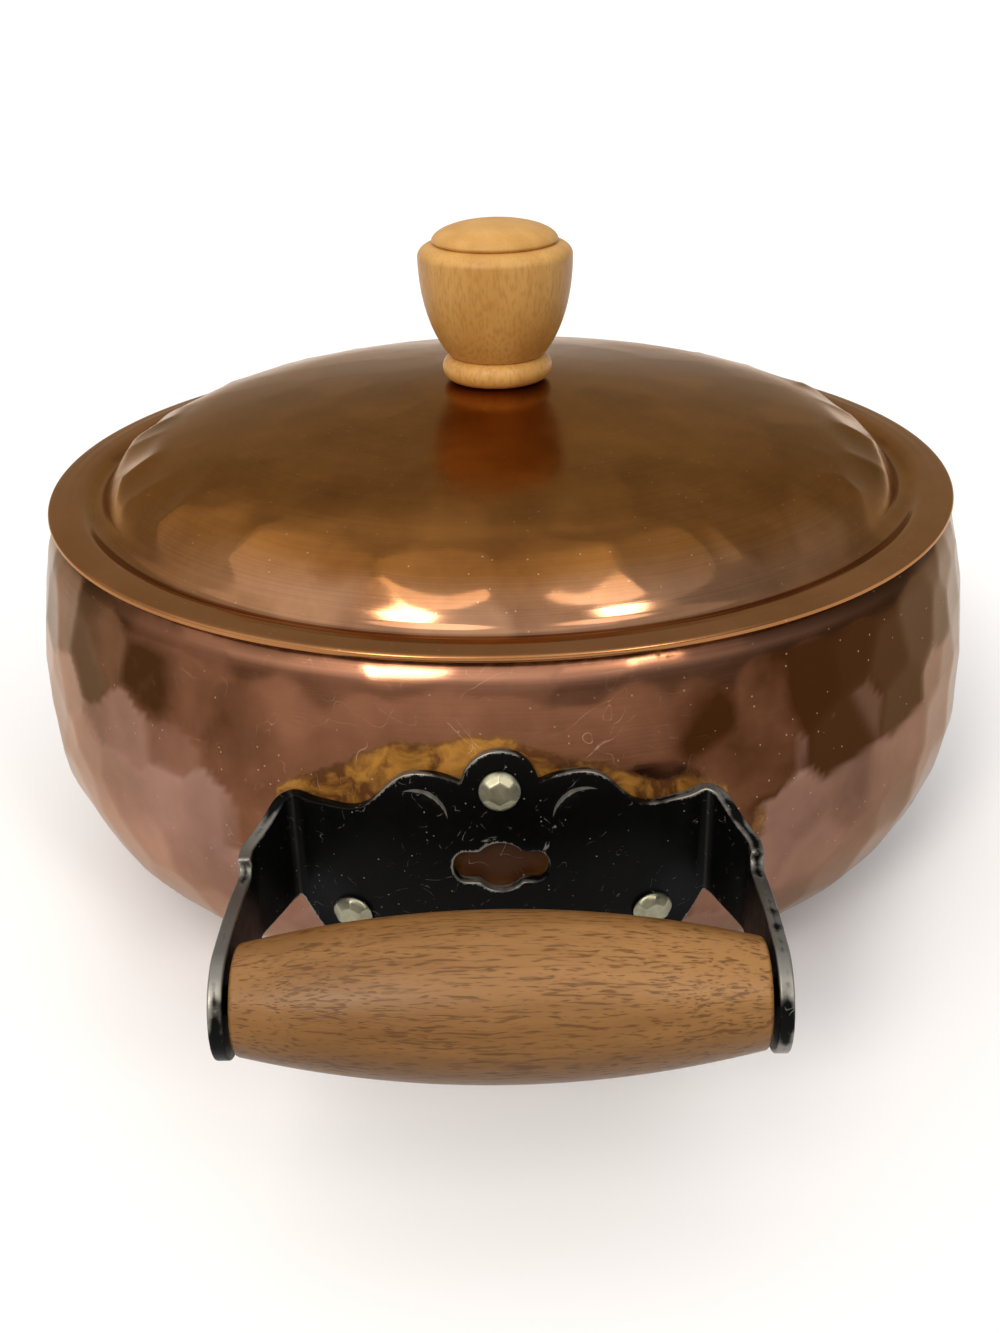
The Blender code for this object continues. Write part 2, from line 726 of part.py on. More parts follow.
def make_grip(side_name, side, material):
    """A barrel of wood, bored for the rod, on its own axis."""
    half = grip_length / 2
    swell = grip_middle_radius - grip_end_radius
    flat_half = half - grip_edge_round
    count = 10
    places = [flat_half - 2 * flat_half * i / count for i in range(count + 1)]
    barrel = [(grip_middle_radius - swell * (x / half) ** 2, x) for x in places]
    edge = grip_end_radius - grip_edge_round
    bore = rod_radius + running_gap
    profile = [(bore, half), (edge, half)] + barrel + [(edge, -half), (bore, -half)]
    grip = turned(side_name + "_grip", profile, turned_steps, material, closed=True)
    grip.location = Matrix.Rotation(side, 3, "Z") @ Vector((0.0, -grip_reach, grip_height))
    grip.rotation_euler = (0.0, math.pi / 2, side)
    return grip


def make_rod(side_name, side, material):
    """Steel rod through both ears and the grip, with peened ends."""
    seat = ear_plane + bracket_sheet / 2 + fit_gap
    cap = arc_points((0.0, seat), (rod_end_radius, rod_end_height), math.pi / 2, 0.0, 4)
    half = cap + [(rod_radius, seat)]
    profile = half + [(r, -z) for r, z in half[::-1]]
    rod = turned(side_name + "_grip_rod", profile, small_steps, material)
    rod.location = Matrix.Rotation(side, 3, "Z") @ Vector((0.0, -grip_reach, grip_height))
    rod.rotation_euler = (0.0, math.pi / 2, side)
    return rod


def build():
    """Clear the scene and model the whole pot."""
    for item in list(bpy.data.objects):
        bpy.data.objects.remove(item, do_unlink=True)

    copper = make_material("hammered_copper", (0.48, 0.20, 0.12), 0.28, 1.0)
    lid_copper = make_material("browned_copper", (0.36, 0.15, 0.07), 0.32, 1.0)
    pale_wood = make_material("pale_wood", (0.62, 0.38, 0.18), 0.45, 0.0)
    brown_wood = make_material("brown_wood", (0.34, 0.17, 0.07), 0.5, 0.0)
    black_steel = make_material("black_steel", (0.012, 0.012, 0.013), 0.35, 0.0)
    bare_steel = make_material("bare_steel", (0.5, 0.5, 0.47), 0.35, 1.0)
    rivet_metal = make_material("rivet_metal", (0.55, 0.54, 0.46), 0.3, 1.0)

    make_bowl(copper)
    make_lid(lid_copper)
    make_knob(pale_wood)
    make_screw(bare_steel)
    make_washer(bare_steel)
    bracket = bracket_mesh()
    rivet = rivet_mesh()
    for side_name, side in handle_sides:
        make_bracket(side_name, side, bracket, black_steel)
        for name, distance, height in rivet_places():
            make_rivet(side_name + "_rivet_" + name, distance, height, side, rivet, rivet_metal)
        make_grip(side_name, side, brown_wood)
        make_rod(side_name, side, bare_steel)


build()
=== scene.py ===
# Hammered copper casserole: dresses the CAD frame of the pot, its lid, knob and two handles.
# Metres, +Z up. The pot stands on the floor with its axis on Z; the handles lie along -Y and +Y.

import math

import bmesh
import bpy
import numpy as np
from mathutils import Matrix, Vector


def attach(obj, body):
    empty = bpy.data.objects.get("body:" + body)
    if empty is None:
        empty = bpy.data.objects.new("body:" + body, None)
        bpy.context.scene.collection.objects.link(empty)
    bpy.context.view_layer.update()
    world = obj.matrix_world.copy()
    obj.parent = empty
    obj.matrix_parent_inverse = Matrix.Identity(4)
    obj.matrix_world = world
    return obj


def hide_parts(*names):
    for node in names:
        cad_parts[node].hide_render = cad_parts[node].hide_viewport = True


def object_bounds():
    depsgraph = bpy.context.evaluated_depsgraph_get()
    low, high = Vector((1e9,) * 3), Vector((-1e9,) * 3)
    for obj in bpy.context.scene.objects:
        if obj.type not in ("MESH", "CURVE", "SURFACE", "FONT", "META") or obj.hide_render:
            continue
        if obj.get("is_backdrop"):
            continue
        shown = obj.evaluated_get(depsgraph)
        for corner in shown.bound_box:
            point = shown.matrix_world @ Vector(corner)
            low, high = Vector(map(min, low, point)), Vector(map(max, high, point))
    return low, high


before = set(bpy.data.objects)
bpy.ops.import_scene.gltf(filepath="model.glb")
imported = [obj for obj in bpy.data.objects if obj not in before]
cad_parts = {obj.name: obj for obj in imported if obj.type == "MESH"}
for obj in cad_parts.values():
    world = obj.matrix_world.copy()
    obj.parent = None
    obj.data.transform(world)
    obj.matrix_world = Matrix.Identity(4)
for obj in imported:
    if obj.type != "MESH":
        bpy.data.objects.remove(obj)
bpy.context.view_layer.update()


# Camera
# The eye is 0.36 m in front of the pot's axis and looks down on the lid at about 26 degrees.
# The picture leans a little to one side, as a hand-held shot does.

eye = Vector((-0.00103, -0.3600, 0.21605))
eye_pitch = math.radians(26.48)
eye_roll = math.radians(-1.3)
eye_turn = math.radians(0.8)
lens_width = 36.0
picture_height = 1333.0
focal_pixels = 1500.0       # focal length in pixels of the picture
lens_length = focal_pixels * lens_width / picture_height

looking = Vector((0.0, math.cos(eye_pitch), -math.sin(eye_pitch)))
level_up = Vector((0.0, math.sin(eye_pitch), math.cos(eye_pitch)))
level_right = Vector((1.0, 0.0, 0.0))
right = level_right * math.cos(eye_roll) + level_up * math.sin(eye_roll)
up = level_up * math.cos(eye_roll) - level_right * math.sin(eye_roll)
eye_matrix = Matrix((right, up, -looking)).transposed().to_4x4()
eye_matrix.translation = eye

camera_data = bpy.data.cameras.new("camera")
camera_data.lens = lens_length
camera_data.sensor_width = lens_width
camera_data.clip_start = 0.01
camera = bpy.data.objects.new("camera", camera_data)
camera.matrix_world = Matrix.Rotation(eye_turn, 4, "Z") @ eye_matrix
bpy.context.scene.collection.objects.link(camera)
bpy.context.scene.camera = camera
bpy.context.scene.view_settings.view_transform = "Standard"


# Floor
# A wide board under the pot, painted matt and pale as in a studio. It runs to the horizon and
# carries the pot's soft shadow.

def linear(code, alpha=1.0):
    """Linear colour from an sRGB hex code."""
    shares = [int(code[i:i + 2], 16) / 255.0 for i in (1, 3, 5)]
    return tuple(s / 12.92 if s <= 0.04045 else ((s + 0.055) / 1.055) ** 2.4
                 for s in shares) + (alpha,)


def feed(node, inputs):
    """Give each input of a node a value or a link; a hex code becomes a linear colour."""
    for key, value in inputs.items():
        if isinstance(value, bpy.types.NodeSocket):
            node.id_data.links.new(value, node.inputs[key])
        else:
            node.inputs[key].default_value = linear(value) if isinstance(value, str) else value


def add_node(tree, kind, inputs=None, **settings):
    """Add a shader node with its settings, feed its inputs, and return its outputs.

    Inputs 6 and 7 of a Mix are its two colours, and its output 2 is the mixed one.
    """
    node = tree.nodes.new("ShaderNode" + kind)
    for key, value in settings.items():
        setattr(node, key, value)
    feed(node, inputs or {})
    return node.outputs


def new_material(name):
    """A material with only a Principled shader and its output."""
    material = bpy.data.materials.new(name)
    material.use_nodes = True
    return material, material.node_tree, material.node_tree.nodes["Principled BSDF"]


floor_half = 12.0
floor_colour = "#fbfbfb"
bounce_colour = "#343434"

floor_mesh = bpy.data.meshes.new("floor")
floor_mesh.from_pydata([(-floor_half, -floor_half, 0.0), (floor_half, -floor_half, 0.0),
                        (floor_half, floor_half, 0.0), (-floor_half, floor_half, 0.0)],
                       [], [(0, 1, 2, 3)])
floor = bpy.data.objects.new("floor", floor_mesh)
bpy.context.scene.collection.objects.link(floor)
# Matt painted studio floor: even and without gloss. The camera and the metal see it pale, and
# it throws less light back up at the pot, so the undersides stay dark.
floor_paint, tree, shader = new_material("matt_floor_paint")
path = add_node(tree, "LightPath")
seen = add_node(tree, "Math", {0: path["Is Camera Ray"], 1: path["Is Glossy Ray"]}, operation="MAXIMUM")[0]
seen = add_node(tree, "Math", {0: seen, 1: path["Is Transmission Ray"]}, operation="MAXIMUM")[0]
paint = add_node(tree, "Mix", {"Factor": seen, 6: bounce_colour, 7: floor_colour}, data_type="RGBA")[2]
feed(shader, {"Base Color": paint, "Roughness": 0.9, "Specular IOR Level": 0.1})
floor_mesh.materials.append(floor_paint)
floor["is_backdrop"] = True


# Light
# Lamps far off, so the floor is lit evenly: two very wide soft ones in front and to the left, and on
# each side a larger and a small one that show at the foot of the lid's dome and in the shoulder.

# Name, azimuth from the front to the right, elevation, width of the lamp, strength and colour
lamps = [("lamp_front_wide", -44.0, 58.0, 88.0, 0.60, "#fdfeff"),
         ("lamp_front_widest", -44.0, 58.0, 130.0, 0.72, "#fdfeff"),
         ("lamp_left_large", -27.0, 56.0, 26.0, 0.34, "#fff8f0"),
         ("lamp_right_large", 38.0, 54.0, 20.0, 0.20, "#fff8f0"),
         ("lamp_left_small", -28.0, 35.0, 15.0, 1.06, "#fff6ea"),
         ("lamp_right_small", 36.0, 35.0, 13.0, 0.50, "#fff6ea")]
for name, azimuth, elevation, width, strength, glow in lamps:
    sun = bpy.data.lights.new(name, "SUN")
    sun.color = linear(glow)[:3]
    sun.angle = math.radians(width)
    sun.energy = strength
    lamp = bpy.data.objects.new(name, sun)
    lamp.rotation_euler = (math.radians(90.0 - elevation), 0.0, math.radians(azimuth))
    bpy.context.scene.collection.objects.link(lamp)

horizon_level = 0.55
ceiling_level = 0.45
horizon_top = math.sin(math.radians(2.0))
ceiling_start = math.sin(math.radians(13.0))
left_colour = "#fff5ea"
right_colour = "#f3f7ff"
zenith_share = 1.20         # how much brighter the ceiling is straight above
zenith_start = math.sin(math.radians(58.0))
zenith_full = math.sin(math.radians(74.0))

world = bpy.data.worlds.new("studio")
bpy.context.scene.world = world
world.use_nodes = True
tree = world.node_tree
direction = add_node(tree, "TexCoord")["Generated"]
parts = add_node(tree, "SeparateXYZ", {0: direction})
level = add_node(tree, "MapRange", {"Value": parts["Z"], "From Min": horizon_top, "From Max": ceiling_start,
    "To Min": horizon_level, "To Max": ceiling_level}, interpolation_type="SMOOTHSTEP")["Result"]
above = add_node(tree, "MapRange", {"Value": parts["Z"], "From Min": zenith_start, "From Max": zenith_full,
    "To Min": 1.0, "To Max": zenith_share}, interpolation_type="SMOOTHSTEP")["Result"]
level = add_node(tree, "Math", {0: level, 1: above}, operation="MULTIPLY")[0]
side = add_node(tree, "MapRange", {"Value": parts["X"], "From Min": -1.0})["Result"]
glow = add_node(tree, "Mix", {"Factor": side, 6: left_colour, 7: right_colour}, data_type="RGBA")[2]
feed(tree.nodes["Background"], {"Strength": level, "Color": glow})


# Bowl
# One sheet of copper, raised and planished with overlapping hammer marks, so the outside is a
# net of small flats. It is browned above and rosy below, the rosy part partly a painted
# reflection of the pale floor, and tinned inside.

base_radius = 0.070
belly_radius = 0.1156
mouth_inset = 0.0085
shoulder_inset = 0.0034
shoulder_height = 0.0062
belly_height = 0.046
bowl_height = 0.0922
bowl_wall = 0.002
bowl_columns = 480
bowl_step = 0.0014
inside_step = 0.0030
bowl_mark = 0.0130          # across one hammer mark
bowl_lip = 0.0005           # rounding of the rim's edges

corner_width = belly_radius - base_radius
mouth_radius = belly_radius - mouth_inset
shoulder_foot = bowl_height - shoulder_height
wall_rise = shoulder_foot - belly_height
wall_inset = mouth_inset - shoulder_inset
upper_wall_radius = (wall_rise ** 2 + wall_inset ** 2) / (2 * wall_inset)
foot_lean = math.asin(wall_rise / upper_wall_radius)
shoulder_bow = shoulder_inset * math.cos(foot_lean) - shoulder_height * math.sin(foot_lean)
shoulder_radius = (shoulder_inset ** 2 + shoulder_height ** 2) / (2 * shoulder_bow)
shoulder_centre = (mouth_radius + shoulder_inset - shoulder_radius * math.cos(foot_lean),
                   shoulder_foot - shoulder_radius * math.sin(foot_lean))
rim_lean = math.asin((bowl_height - shoulder_centre[1]) / shoulder_radius)


def arc(centre, radii, start, end, count):
    """Points on an elliptical arc: the centre plus the radii times cosine and sine of the angle."""
    angle = np.linspace(start, end, count)
    return np.stack([centre[0] + radii[0] * np.cos(angle), centre[1] + radii[1] * np.sin(angle)], 1)


def line_length(line):
    """Length from the start of a line of points to each of them."""
    return np.concatenate([[0.0], np.cumsum(np.hypot(*np.diff(line, axis=0).T))])


def even_line(line, step):
    """The same line with points at even steps along it."""
    along = line_length(line)
    places = np.linspace(0.0, along[-1], int(math.ceil(along[-1] / step)) + 1)
    return np.stack([np.interp(places, along, line[:, 0]), np.interp(places, along, line[:, 1])], 1)


def line_normals(line):
    """Unit vectors square to a line: its direction turned a quarter clockwise."""
    ahead = np.gradient(line, axis=0)
    ahead /= np.hypot(ahead[:, 0], ahead[:, 1])[:, None]
    return np.stack([ahead[:, 1], -ahead[:, 0]], 1)


mark_stray = 0.34           # how far a mark strays from its place, as a share of the spacing
mark_lift = 0.16            # how far marks differ in depth, as a share of bow times spacing squared
border_blend = 0.0018       # reach of the blend on each side of a border between marks


def whole_turn(columns, start=-math.pi):
    """The angles of one whole turn as a row; its first and last are the seam."""
    return np.linspace(start, start + 2 * math.pi, columns + 1)[None, :]


def hammer_marks(turn, radius, along, spacing, counts, bow, tilt, seed):
    """Surface of overlapping hammer flats.

    The marks lie in rings, each moved a little at random. Over one mark the height is bow times
    the squared distance from its middle, plus a slight slope; the lowest mark in reach is the
    surface. Returns the height, a random number of the mark, and its place along the rings, the
    last two blended with the next mark's near their border.
    """
    chance = np.random.default_rng(seed)
    shape = (len(counts), int(max(counts)))
    shift_round, shift_along, slope_round, slope_along, lift, tone = (
        chance.uniform(-1.0, 1.0, shape) for _ in range(6))
    counts = np.asarray(counts)
    best, second = np.full(turn.shape, 1.0), np.full(turn.shape, 2.0)
    best_trait, second_trait = np.zeros((2,) + turn.shape), np.zeros((2,) + turn.shape)
    for ring_step in (-2, -1, 0, 1, 2):
        ring = np.clip(np.floor(along / spacing + 0.5).astype(int) + ring_step, 0, len(counts) - 1)
        count = counts[ring]
        place = turn * count / (2 * math.pi) + 0.5 * (ring % 2)
        for mark_step in (-1, 0, 1):
            mark = np.floor(place + 0.5).astype(int) + mark_step
            key = (ring, mark % count)
            off_round = (place - mark - mark_stray * shift_round[key]) * 2 * math.pi / count * radius
            off_along = along - (ring + mark_stray * shift_along[key]) * spacing
            value = bow * (off_round ** 2 + off_along ** 2)
            value = value + bow * spacing ** 2 * mark_lift * lift[key]
            value += tilt * (slope_round[key] * off_round + slope_along[key] * off_along)
            trait = np.stack([tone[key], ring + mark_stray * shift_along[key]])
            nearer, next_one = value < best, value < second
            second_trait = np.where(nearer, best_trait, np.where(next_one, trait, second_trait))
            second = np.where(nearer, best, np.minimum(second, value))
            best_trait = np.where(nearer, trait, best_trait)
            best = np.where(nearer, value, best)
    own = np.clip((second - best) / (4 * bow * spacing * border_blend) + 0.5, 0.5, 1.0)
    blended = best_trait * own + second_trait * (1.0 - own)
    return best, blended[0], blended[1]


def turned_sheet(line, columns, offset=None):
    """A line of (radius, height) points turned round Z, moved by offset along its normals."""
    turn = whole_turn(columns)
    radius = line[:, :1] + np.zeros_like(turn)
    height = line[:, 1:] + np.zeros_like(turn)
    if offset is not None:
        normals = line_normals(line)
        radius = radius + normals[:, :1] * offset
        height = height + normals[:, 1:] * offset
    return np.stack([radius * np.sin(turn), -radius * np.cos(turn), height], -1)


def sheet_uv(line, columns, start=0.0, reach=0.1):
    """Flat coordinates in metres of a turned sheet: round it at the radius reach, and along it."""
    turn = whole_turn(columns)
    along = line_length(line)[:, None] + start
    return np.stack([reach * turn + 0.0 * along, along + 0.0 * turn], -1)


def surface_object(name, sheets, materials, merge=2e-6):
    """One object from sheets of points, put in as whole arrays.

    A sheet holds points and flat coordinates on a grid, the number of its material, and named
    values for its points. Neighbouring sheets, seams and poles are merged by distance.
    """
    names = sorted({key for sheet in sheets for key in sheet.get("values", {})})
    points, corners, flats, slots = [], [], [], []
    values = {key: [] for key in names}
    start = 0
    for sheet in sheets:
        grid = sheet["points"]
        rows, columns = grid.shape[:2]
        index = np.arange(rows * columns).reshape(rows, columns)
        quads = np.stack([index[:-1, :-1], index[:-1, 1:], index[1:, 1:], index[1:, :-1]],
                         -1).reshape(-1, 4)
        points.append(grid.reshape(-1, 3))
        corners.append(quads + start)
        flats.append(sheet["uv"].reshape(-1, 2)[quads.reshape(-1)])
        slots.append(np.full(len(quads), sheet.get("slot", 0)))
        for key in names:
            given = sheet.get("values", {}).get(key, 0.0)
            values[key].append((given + np.zeros((rows, columns))).reshape(-1))
        start += rows * columns
    points, corners = np.concatenate(points), np.concatenate(corners)
    mesh = bpy.data.meshes.new(name)
    mesh.vertices.add(len(points))
    mesh.vertices.foreach_set("co", points.astype(np.float32).reshape(-1))
    mesh.loops.add(corners.size)
    mesh.loops.foreach_set("vertex_index", corners.astype(np.int32).reshape(-1))
    mesh.polygons.add(len(corners))
    mesh.polygons.foreach_set("loop_start", np.arange(0, corners.size, 4, dtype=np.int32))
    mesh.polygons.foreach_set("material_index", np.concatenate(slots).astype(np.int32))
    layer = mesh.uv_layers.new(name="flat")
    layer.data.foreach_set("uv", np.concatenate(flats).astype(np.float32).reshape(-1))
    for key in names:
        store = mesh.attributes.new(key, "FLOAT", "POINT")
        store.data.foreach_set("value", np.concatenate(values[key]).astype(np.float32))
    mesh.update()
    bm = bmesh.new()
    bm.from_mesh(mesh)
    bmesh.ops.remove_doubles(bm, verts=bm.verts, dist=merge)
    bmesh.ops.recalc_face_normals(bm, faces=bm.faces)
    if bm.calc_volume(signed=True) < 0.0:
        bmesh.ops.reverse_faces(bm, faces=bm.faces)
    bm.to_mesh(mesh)
    bm.free()
    mesh.shade_smooth()
    for material in materials:
        mesh.materials.append(material)
    item = bpy.data.objects.new(name, mesh)
    bpy.context.scene.collection.objects.link(item)
    return item


outer_line = np.concatenate([
    arc((base_radius, belly_height), (corner_width, belly_height), -math.pi / 2, 0.0, 200),
    arc((belly_radius - upper_wall_radius, belly_height), (upper_wall_radius,) * 2,
        0.0, foot_lean, 120)[1:],
    arc(shoulder_centre, (shoulder_radius,) * 2, foot_lean, rim_lean, 40)[1:]])
outer_line = even_line(outer_line, bowl_step)
base_line = np.stack([np.linspace(0.0, base_radius, 14), np.zeros(14)], 1)
outer_along = line_length(outer_line)
ring_radii = np.interp(np.arange(0.0, outer_along[-1] + 2 * bowl_mark, bowl_mark),
                       outer_along, outer_line[:, 0])
ring_counts = [int(round(2 * math.pi * r / bowl_mark)) for r in ring_radii]

# Hammer marks of the bowl, which fade in above the base's edge and sink on the shoulder
bowl_bow = 5.2              # height of a mark over the square of the distance from its middle
bowl_tilt = 0.016           # steepest slope of a mark
bowl_seed = 7
marks_start = 0.006         # where they begin, along the sheet from the base's edge
marks_rise = 0.012          # and over what length they reach their depth
shoulder_fade = 0.45
bowl_mark_level = 0.00011   # taken off, so that the marks lie about the plain wall

# Height of the edge between rosy and brown copper: low by a handle, up in a step beside it, and a
# little higher at the sides. The rosy copper below is tarnish and partly a painted reflection of
# the pale floor. The angles are degrees from the nearer handle.
rosy_height, rosy_step, rosy_gain = 0.038, 0.026, 0.006
step_angle, step_width = 22.0, 11.0
gain_angle, gain_width = 50.0, 30.0
rosy_stray = 0.0035         # how far single marks stray from it
rosy_blend = 0.0050

# Stains: place as distance round the wall and height, and reach in both. The rim's stain is placed
# from the front handle, the others from the nearer one.
residue_radius = belly_radius + 0.0016
residue_blend = 0.0030      # height over which the residue ends
residue_share = 0.35        # how much of it there is on its outline
residue_half = 0.0475
residue_foot = 0.045
drip_place, drip_reach = (0.0545, 0.0520), (0.0022, 0.0040)
rim_stain_place, rim_stain_reach = (0.0347, 0.0908), (0.0034, 0.0010)
# A darker patch on the wall behind the bracket's cut-out
behind_cutout_dark_place, behind_cutout_dark_reach = (0.0, 0.0530), (0.0115, 0.0085)
# Painted highlight: a lighter pink strip along the shoulder near each handle, by height and reach
shoulder_highlight_height, shoulder_highlight_reach = 0.0890, 0.0012

# Painted shade: the pot's right side is darker, by the sine of the turn
painted_shade_start, painted_shade_width, painted_shade_loss = 0.15, 0.65, 1.25

# Powers of the cosine of the turn from a handle: how narrow the polished strip and the painted
# highlight on the shoulder are
polish_power, shoulder_highlight_power = 8, 6
# How sharply the darker patch behind the cut-out ends
behind_cutout_dark_power = 6             # how sharply the burnt patch ends

# Top of the residue round a bracket, as points of distance round the wall and height
residue_top = np.array([(-0.0480, 0.0640), (-0.0432, 0.0664), (-0.0305, 0.0722), (-0.0217, 0.0764),
                        (-0.0136, 0.0776), (0.0, 0.0786), (0.0060, 0.0768), (0.0120, 0.0742),
                        (0.0220, 0.0712), (0.0320, 0.0672), (0.0415, 0.0662), (0.0470, 0.0630)])


def stain_spot(across, height, place, reach, power=2):
    """A stain that fades out all round: exp of minus each offset over its reach, to a power."""
    return np.exp(-((across - place[0]) / reach[0]) ** power - ((height - place[1]) / reach[1]) ** power)


def bowl_values(line, along, columns):
    """Hammer marks and soiling on a turned line: heights in metres, and values for the material."""
    turn = whole_turn(columns) + 0.0 * along[:, None]
    distance = along[:, None] + 0.0 * turn
    level = line[:, 1:]
    height, tone, ring = hammer_marks(turn, line[:, :1] + 0.0 * turn, distance, bowl_mark, ring_counts,
                                      bowl_bow, bowl_tilt, bowl_seed)
    fade = np.clip((distance - marks_start) / marks_rise, 0.0, 1.0)
    fade = fade * (1.0 - shoulder_fade * np.clip((level - shoulder_foot) / shoulder_height, 0.0, 1.0))
    mark_height = np.interp(ring * bowl_mark, outer_along, outer_line[:, 1])
    from_handle = turn - math.pi * np.round(turn / math.pi)
    off_handle = np.degrees(np.abs(from_handle))
    rise = np.clip((off_handle - step_angle) / step_width, 0.0, 1.0)
    gain = np.clip((off_handle - gain_angle) / gain_width, 0.0, 1.0)
    edge = rosy_height + rosy_step * rise * rise * (3 - 2 * rise) + rosy_gain * gain + rosy_stray * tone
    # Share of rosy copper, partly a painted reflection of the pale floor
    below = np.clip((edge - mark_height) / rosy_blend + 0.5, 0.0, 1.0)
    round_wall = from_handle * residue_radius
    under_top = np.interp(round_wall, residue_top[:, 0], residue_top[:, 1]) - level
    soil = np.clip(under_top / residue_blend + residue_share, 0.0, 1.0)
    soil = soil * (np.abs(round_wall) < residue_half) * (level > residue_foot)
    soil = np.maximum(soil, stain_spot(round_wall, level, drip_place, drip_reach))
    soil = np.maximum(soil, stain_spot(turn * belly_radius, level, rim_stain_place, rim_stain_reach))
    # Darker patch behind the bracket's cut-out
    burnt = stain_spot(round_wall, level, behind_cutout_dark_place, behind_cutout_dark_reach, behind_cutout_dark_power)
    # Painted shade: darker on the pot's right side, taken off the polish
    painted_shade = np.clip((np.sin(turn) - painted_shade_start) / painted_shade_width, 0.0, 1.0)
    polish = np.cos(from_handle) ** polish_power - painted_shade_loss * painted_shade
    # Painted highlight along the shoulder, narrowing away from each handle
    crest = np.exp(-((level - shoulder_highlight_height) / shoulder_highlight_reach) ** 2) * np.cos(from_handle) ** shoulder_highlight_power
    return (height - bowl_mark_level) * fade, {"tone": tone, "below": below, "soil": soil + burnt,
                                               "burnt": burnt, "polish": polish, "crest": crest}


lip = arc((mouth_radius - bowl_lip, bowl_height - bowl_lip), (bowl_lip,) * 2, rim_lean, math.pi / 2, 5)
inner_line = outer_line - line_normals(outer_line) * bowl_wall
inner_line = inner_line[inner_line[:, 1] < bowl_height - bowl_lip]
outer_trimmed = outer_line[outer_line[:, 1] < bowl_height - bowl_lip]
inner_rim = inner_line[-1]
inner_lip = arc((inner_rim[0] + bowl_lip, bowl_height - bowl_lip), (bowl_lip,) * 2,
                math.pi / 2, math.pi, 5)
inner_down = even_line(np.concatenate([inner_line[::-1], base_line[::-1] + (0.0, bowl_wall)]),
                       inside_step)
inner_down_length = np.interp(inner_down[:, 1], inner_line[:, 1], line_length(inner_line))
inner_down_length = np.where(inner_down[:, 0] < base_radius, 0.0, inner_down_length)

outer_offset, outer_values = bowl_values(outer_trimmed, line_length(outer_trimmed), bowl_columns)
inner_offset, inner_values = bowl_values(inner_down, inner_down_length, bowl_columns)
lip_line = np.concatenate([outer_trimmed[-1:], lip[1:], inner_lip, inner_down[:1]])
outer_points = turned_sheet(outer_trimmed, bowl_columns, outer_offset)
inner_points = turned_sheet(inner_down, bowl_columns, -inner_offset)
lip_points = turned_sheet(lip_line, bowl_columns)
lip_points[0], lip_points[-1] = outer_points[-1], inner_points[0]
base_points = turned_sheet(base_line, bowl_columns)
base_points[-1] = outer_points[0]


def drawn_noise(tree, place, stretch, detail, roughness=0.5):
    """Noise drawn out along one direction, as grain and polishing lines are; its size is 1 / stretch."""
    drawn_place = add_node(tree, "Mapping", {"Vector": place, "Scale": stretch})[0]
    return add_node(tree, "TexNoise", {"Vector": drawn_place, "Scale": 1.0, "Detail": detail,
        "Roughness": roughness})["Fac"]


def hairlines(tree, place, scale, detail, twist, width):
    """Fine wandering lines: where a noise comes within width of its middle value."""
    hair = add_node(tree, "TexNoise", {"Vector": place, "Scale": scale, "Detail": detail,
        "Distortion": twist})["Fac"]
    hair = add_node(tree, "Math", {0: hair, 1: 0.5}, operation="SUBTRACT")[0]
    hair = add_node(tree, "Math", {0: hair}, operation="ABSOLUTE")[0]
    return add_node(tree, "MapRange", {"Value": hair, "From Min": width, "From Max": 0.0})["Result"]


def dust_specks(tree, place, scale, size, empty_share):
    """Scattered specks: the middles of Voronoi cells, left out in a share of the cells.

    The cells are 1 / scale apart, and size is a speck's radius as a share of that.
    """
    cells = add_node(tree, "TexVoronoi", {"Vector": place, "Scale": scale})
    speck = add_node(tree, "Math", {0: cells["Distance"], 1: size}, operation="LESS_THAN")[0]
    chosen = add_node(tree, "SeparateColor", {0: cells["Color"]})[0]
    chosen = add_node(tree, "Math", {0: chosen, 1: empty_share}, operation="GREATER_THAN")[0]
    return add_node(tree, "Math", {0: speck, 1: chosen}, operation="MULTIPLY")[0]


# Planished copper: bright metal under a thin brown and rosy tarnish, each mark a shade of its
# own. The rosy part below is partly a painted reflection of the pale floor, and the pot's right
# side is darker as painted shade. Fine polishing lines, hairline scratches where it was rubbed by
# the handles, a painted highlight along the shoulder there, dust, and amber residue baked on by the
# bracket, with dark edges and a darker patch behind the cut-out. Clouds are 26 mm across, stains 6
# to 8 mm; hairlines wander over 17 to 29 mm. The polishing lines, 0.5 mm apart, and the dust,
# specks of 0.4 mm at 2.4 mm, are drawn coarser than they are, to show.
copper, tree, shader = new_material("planished_copper")
place = add_node(tree, "TexCoord")["Object"]
flat = add_node(tree, "UVMap", uv_map="flat")["UV"]
tone, below, polish, soil, burnt, crest = [add_node(tree, "Attribute", attribute_name=name)["Fac"]
    for name in ("tone", "below", "polish", "soil", "burnt", "crest")]
cloud = add_node(tree, "TexNoise", {"Vector": place, "Scale": 38.0, "Detail": 4.0,
    "Roughness": 0.55})["Fac"]
shade = add_node(tree, "Math", {0: tone, 1: 0.16, 2: cloud}, operation="MULTIPLY_ADD")[0]
# Polish lightens the brown, and its painted shade darkens the pot's right side
buffed = add_node(tree, "Math", {0: polish, 1: 0.46, 2: shade}, operation="MULTIPLY_ADD")[0]
buffed = add_node(tree, "Math", {0: buffed, 1: -0.38}, operation="ADD")[0]
brown = add_node(tree, "Mix", {"Factor": buffed, 6: "#3c210d", 7: "#a26e53"}, data_type="RGBA")[2]
# Painted highlight: lighter pink along the shoulder
brown = add_node(tree, "Mix", {"Factor": crest, 6: brown, 7: "#be8668"}, data_type="RGBA")[2]
lower_shade_and_painted_shade = add_node(tree, "Math", {0: polish, 1: 0.26, 2: shade}, operation="MULTIPLY_ADD")[0]
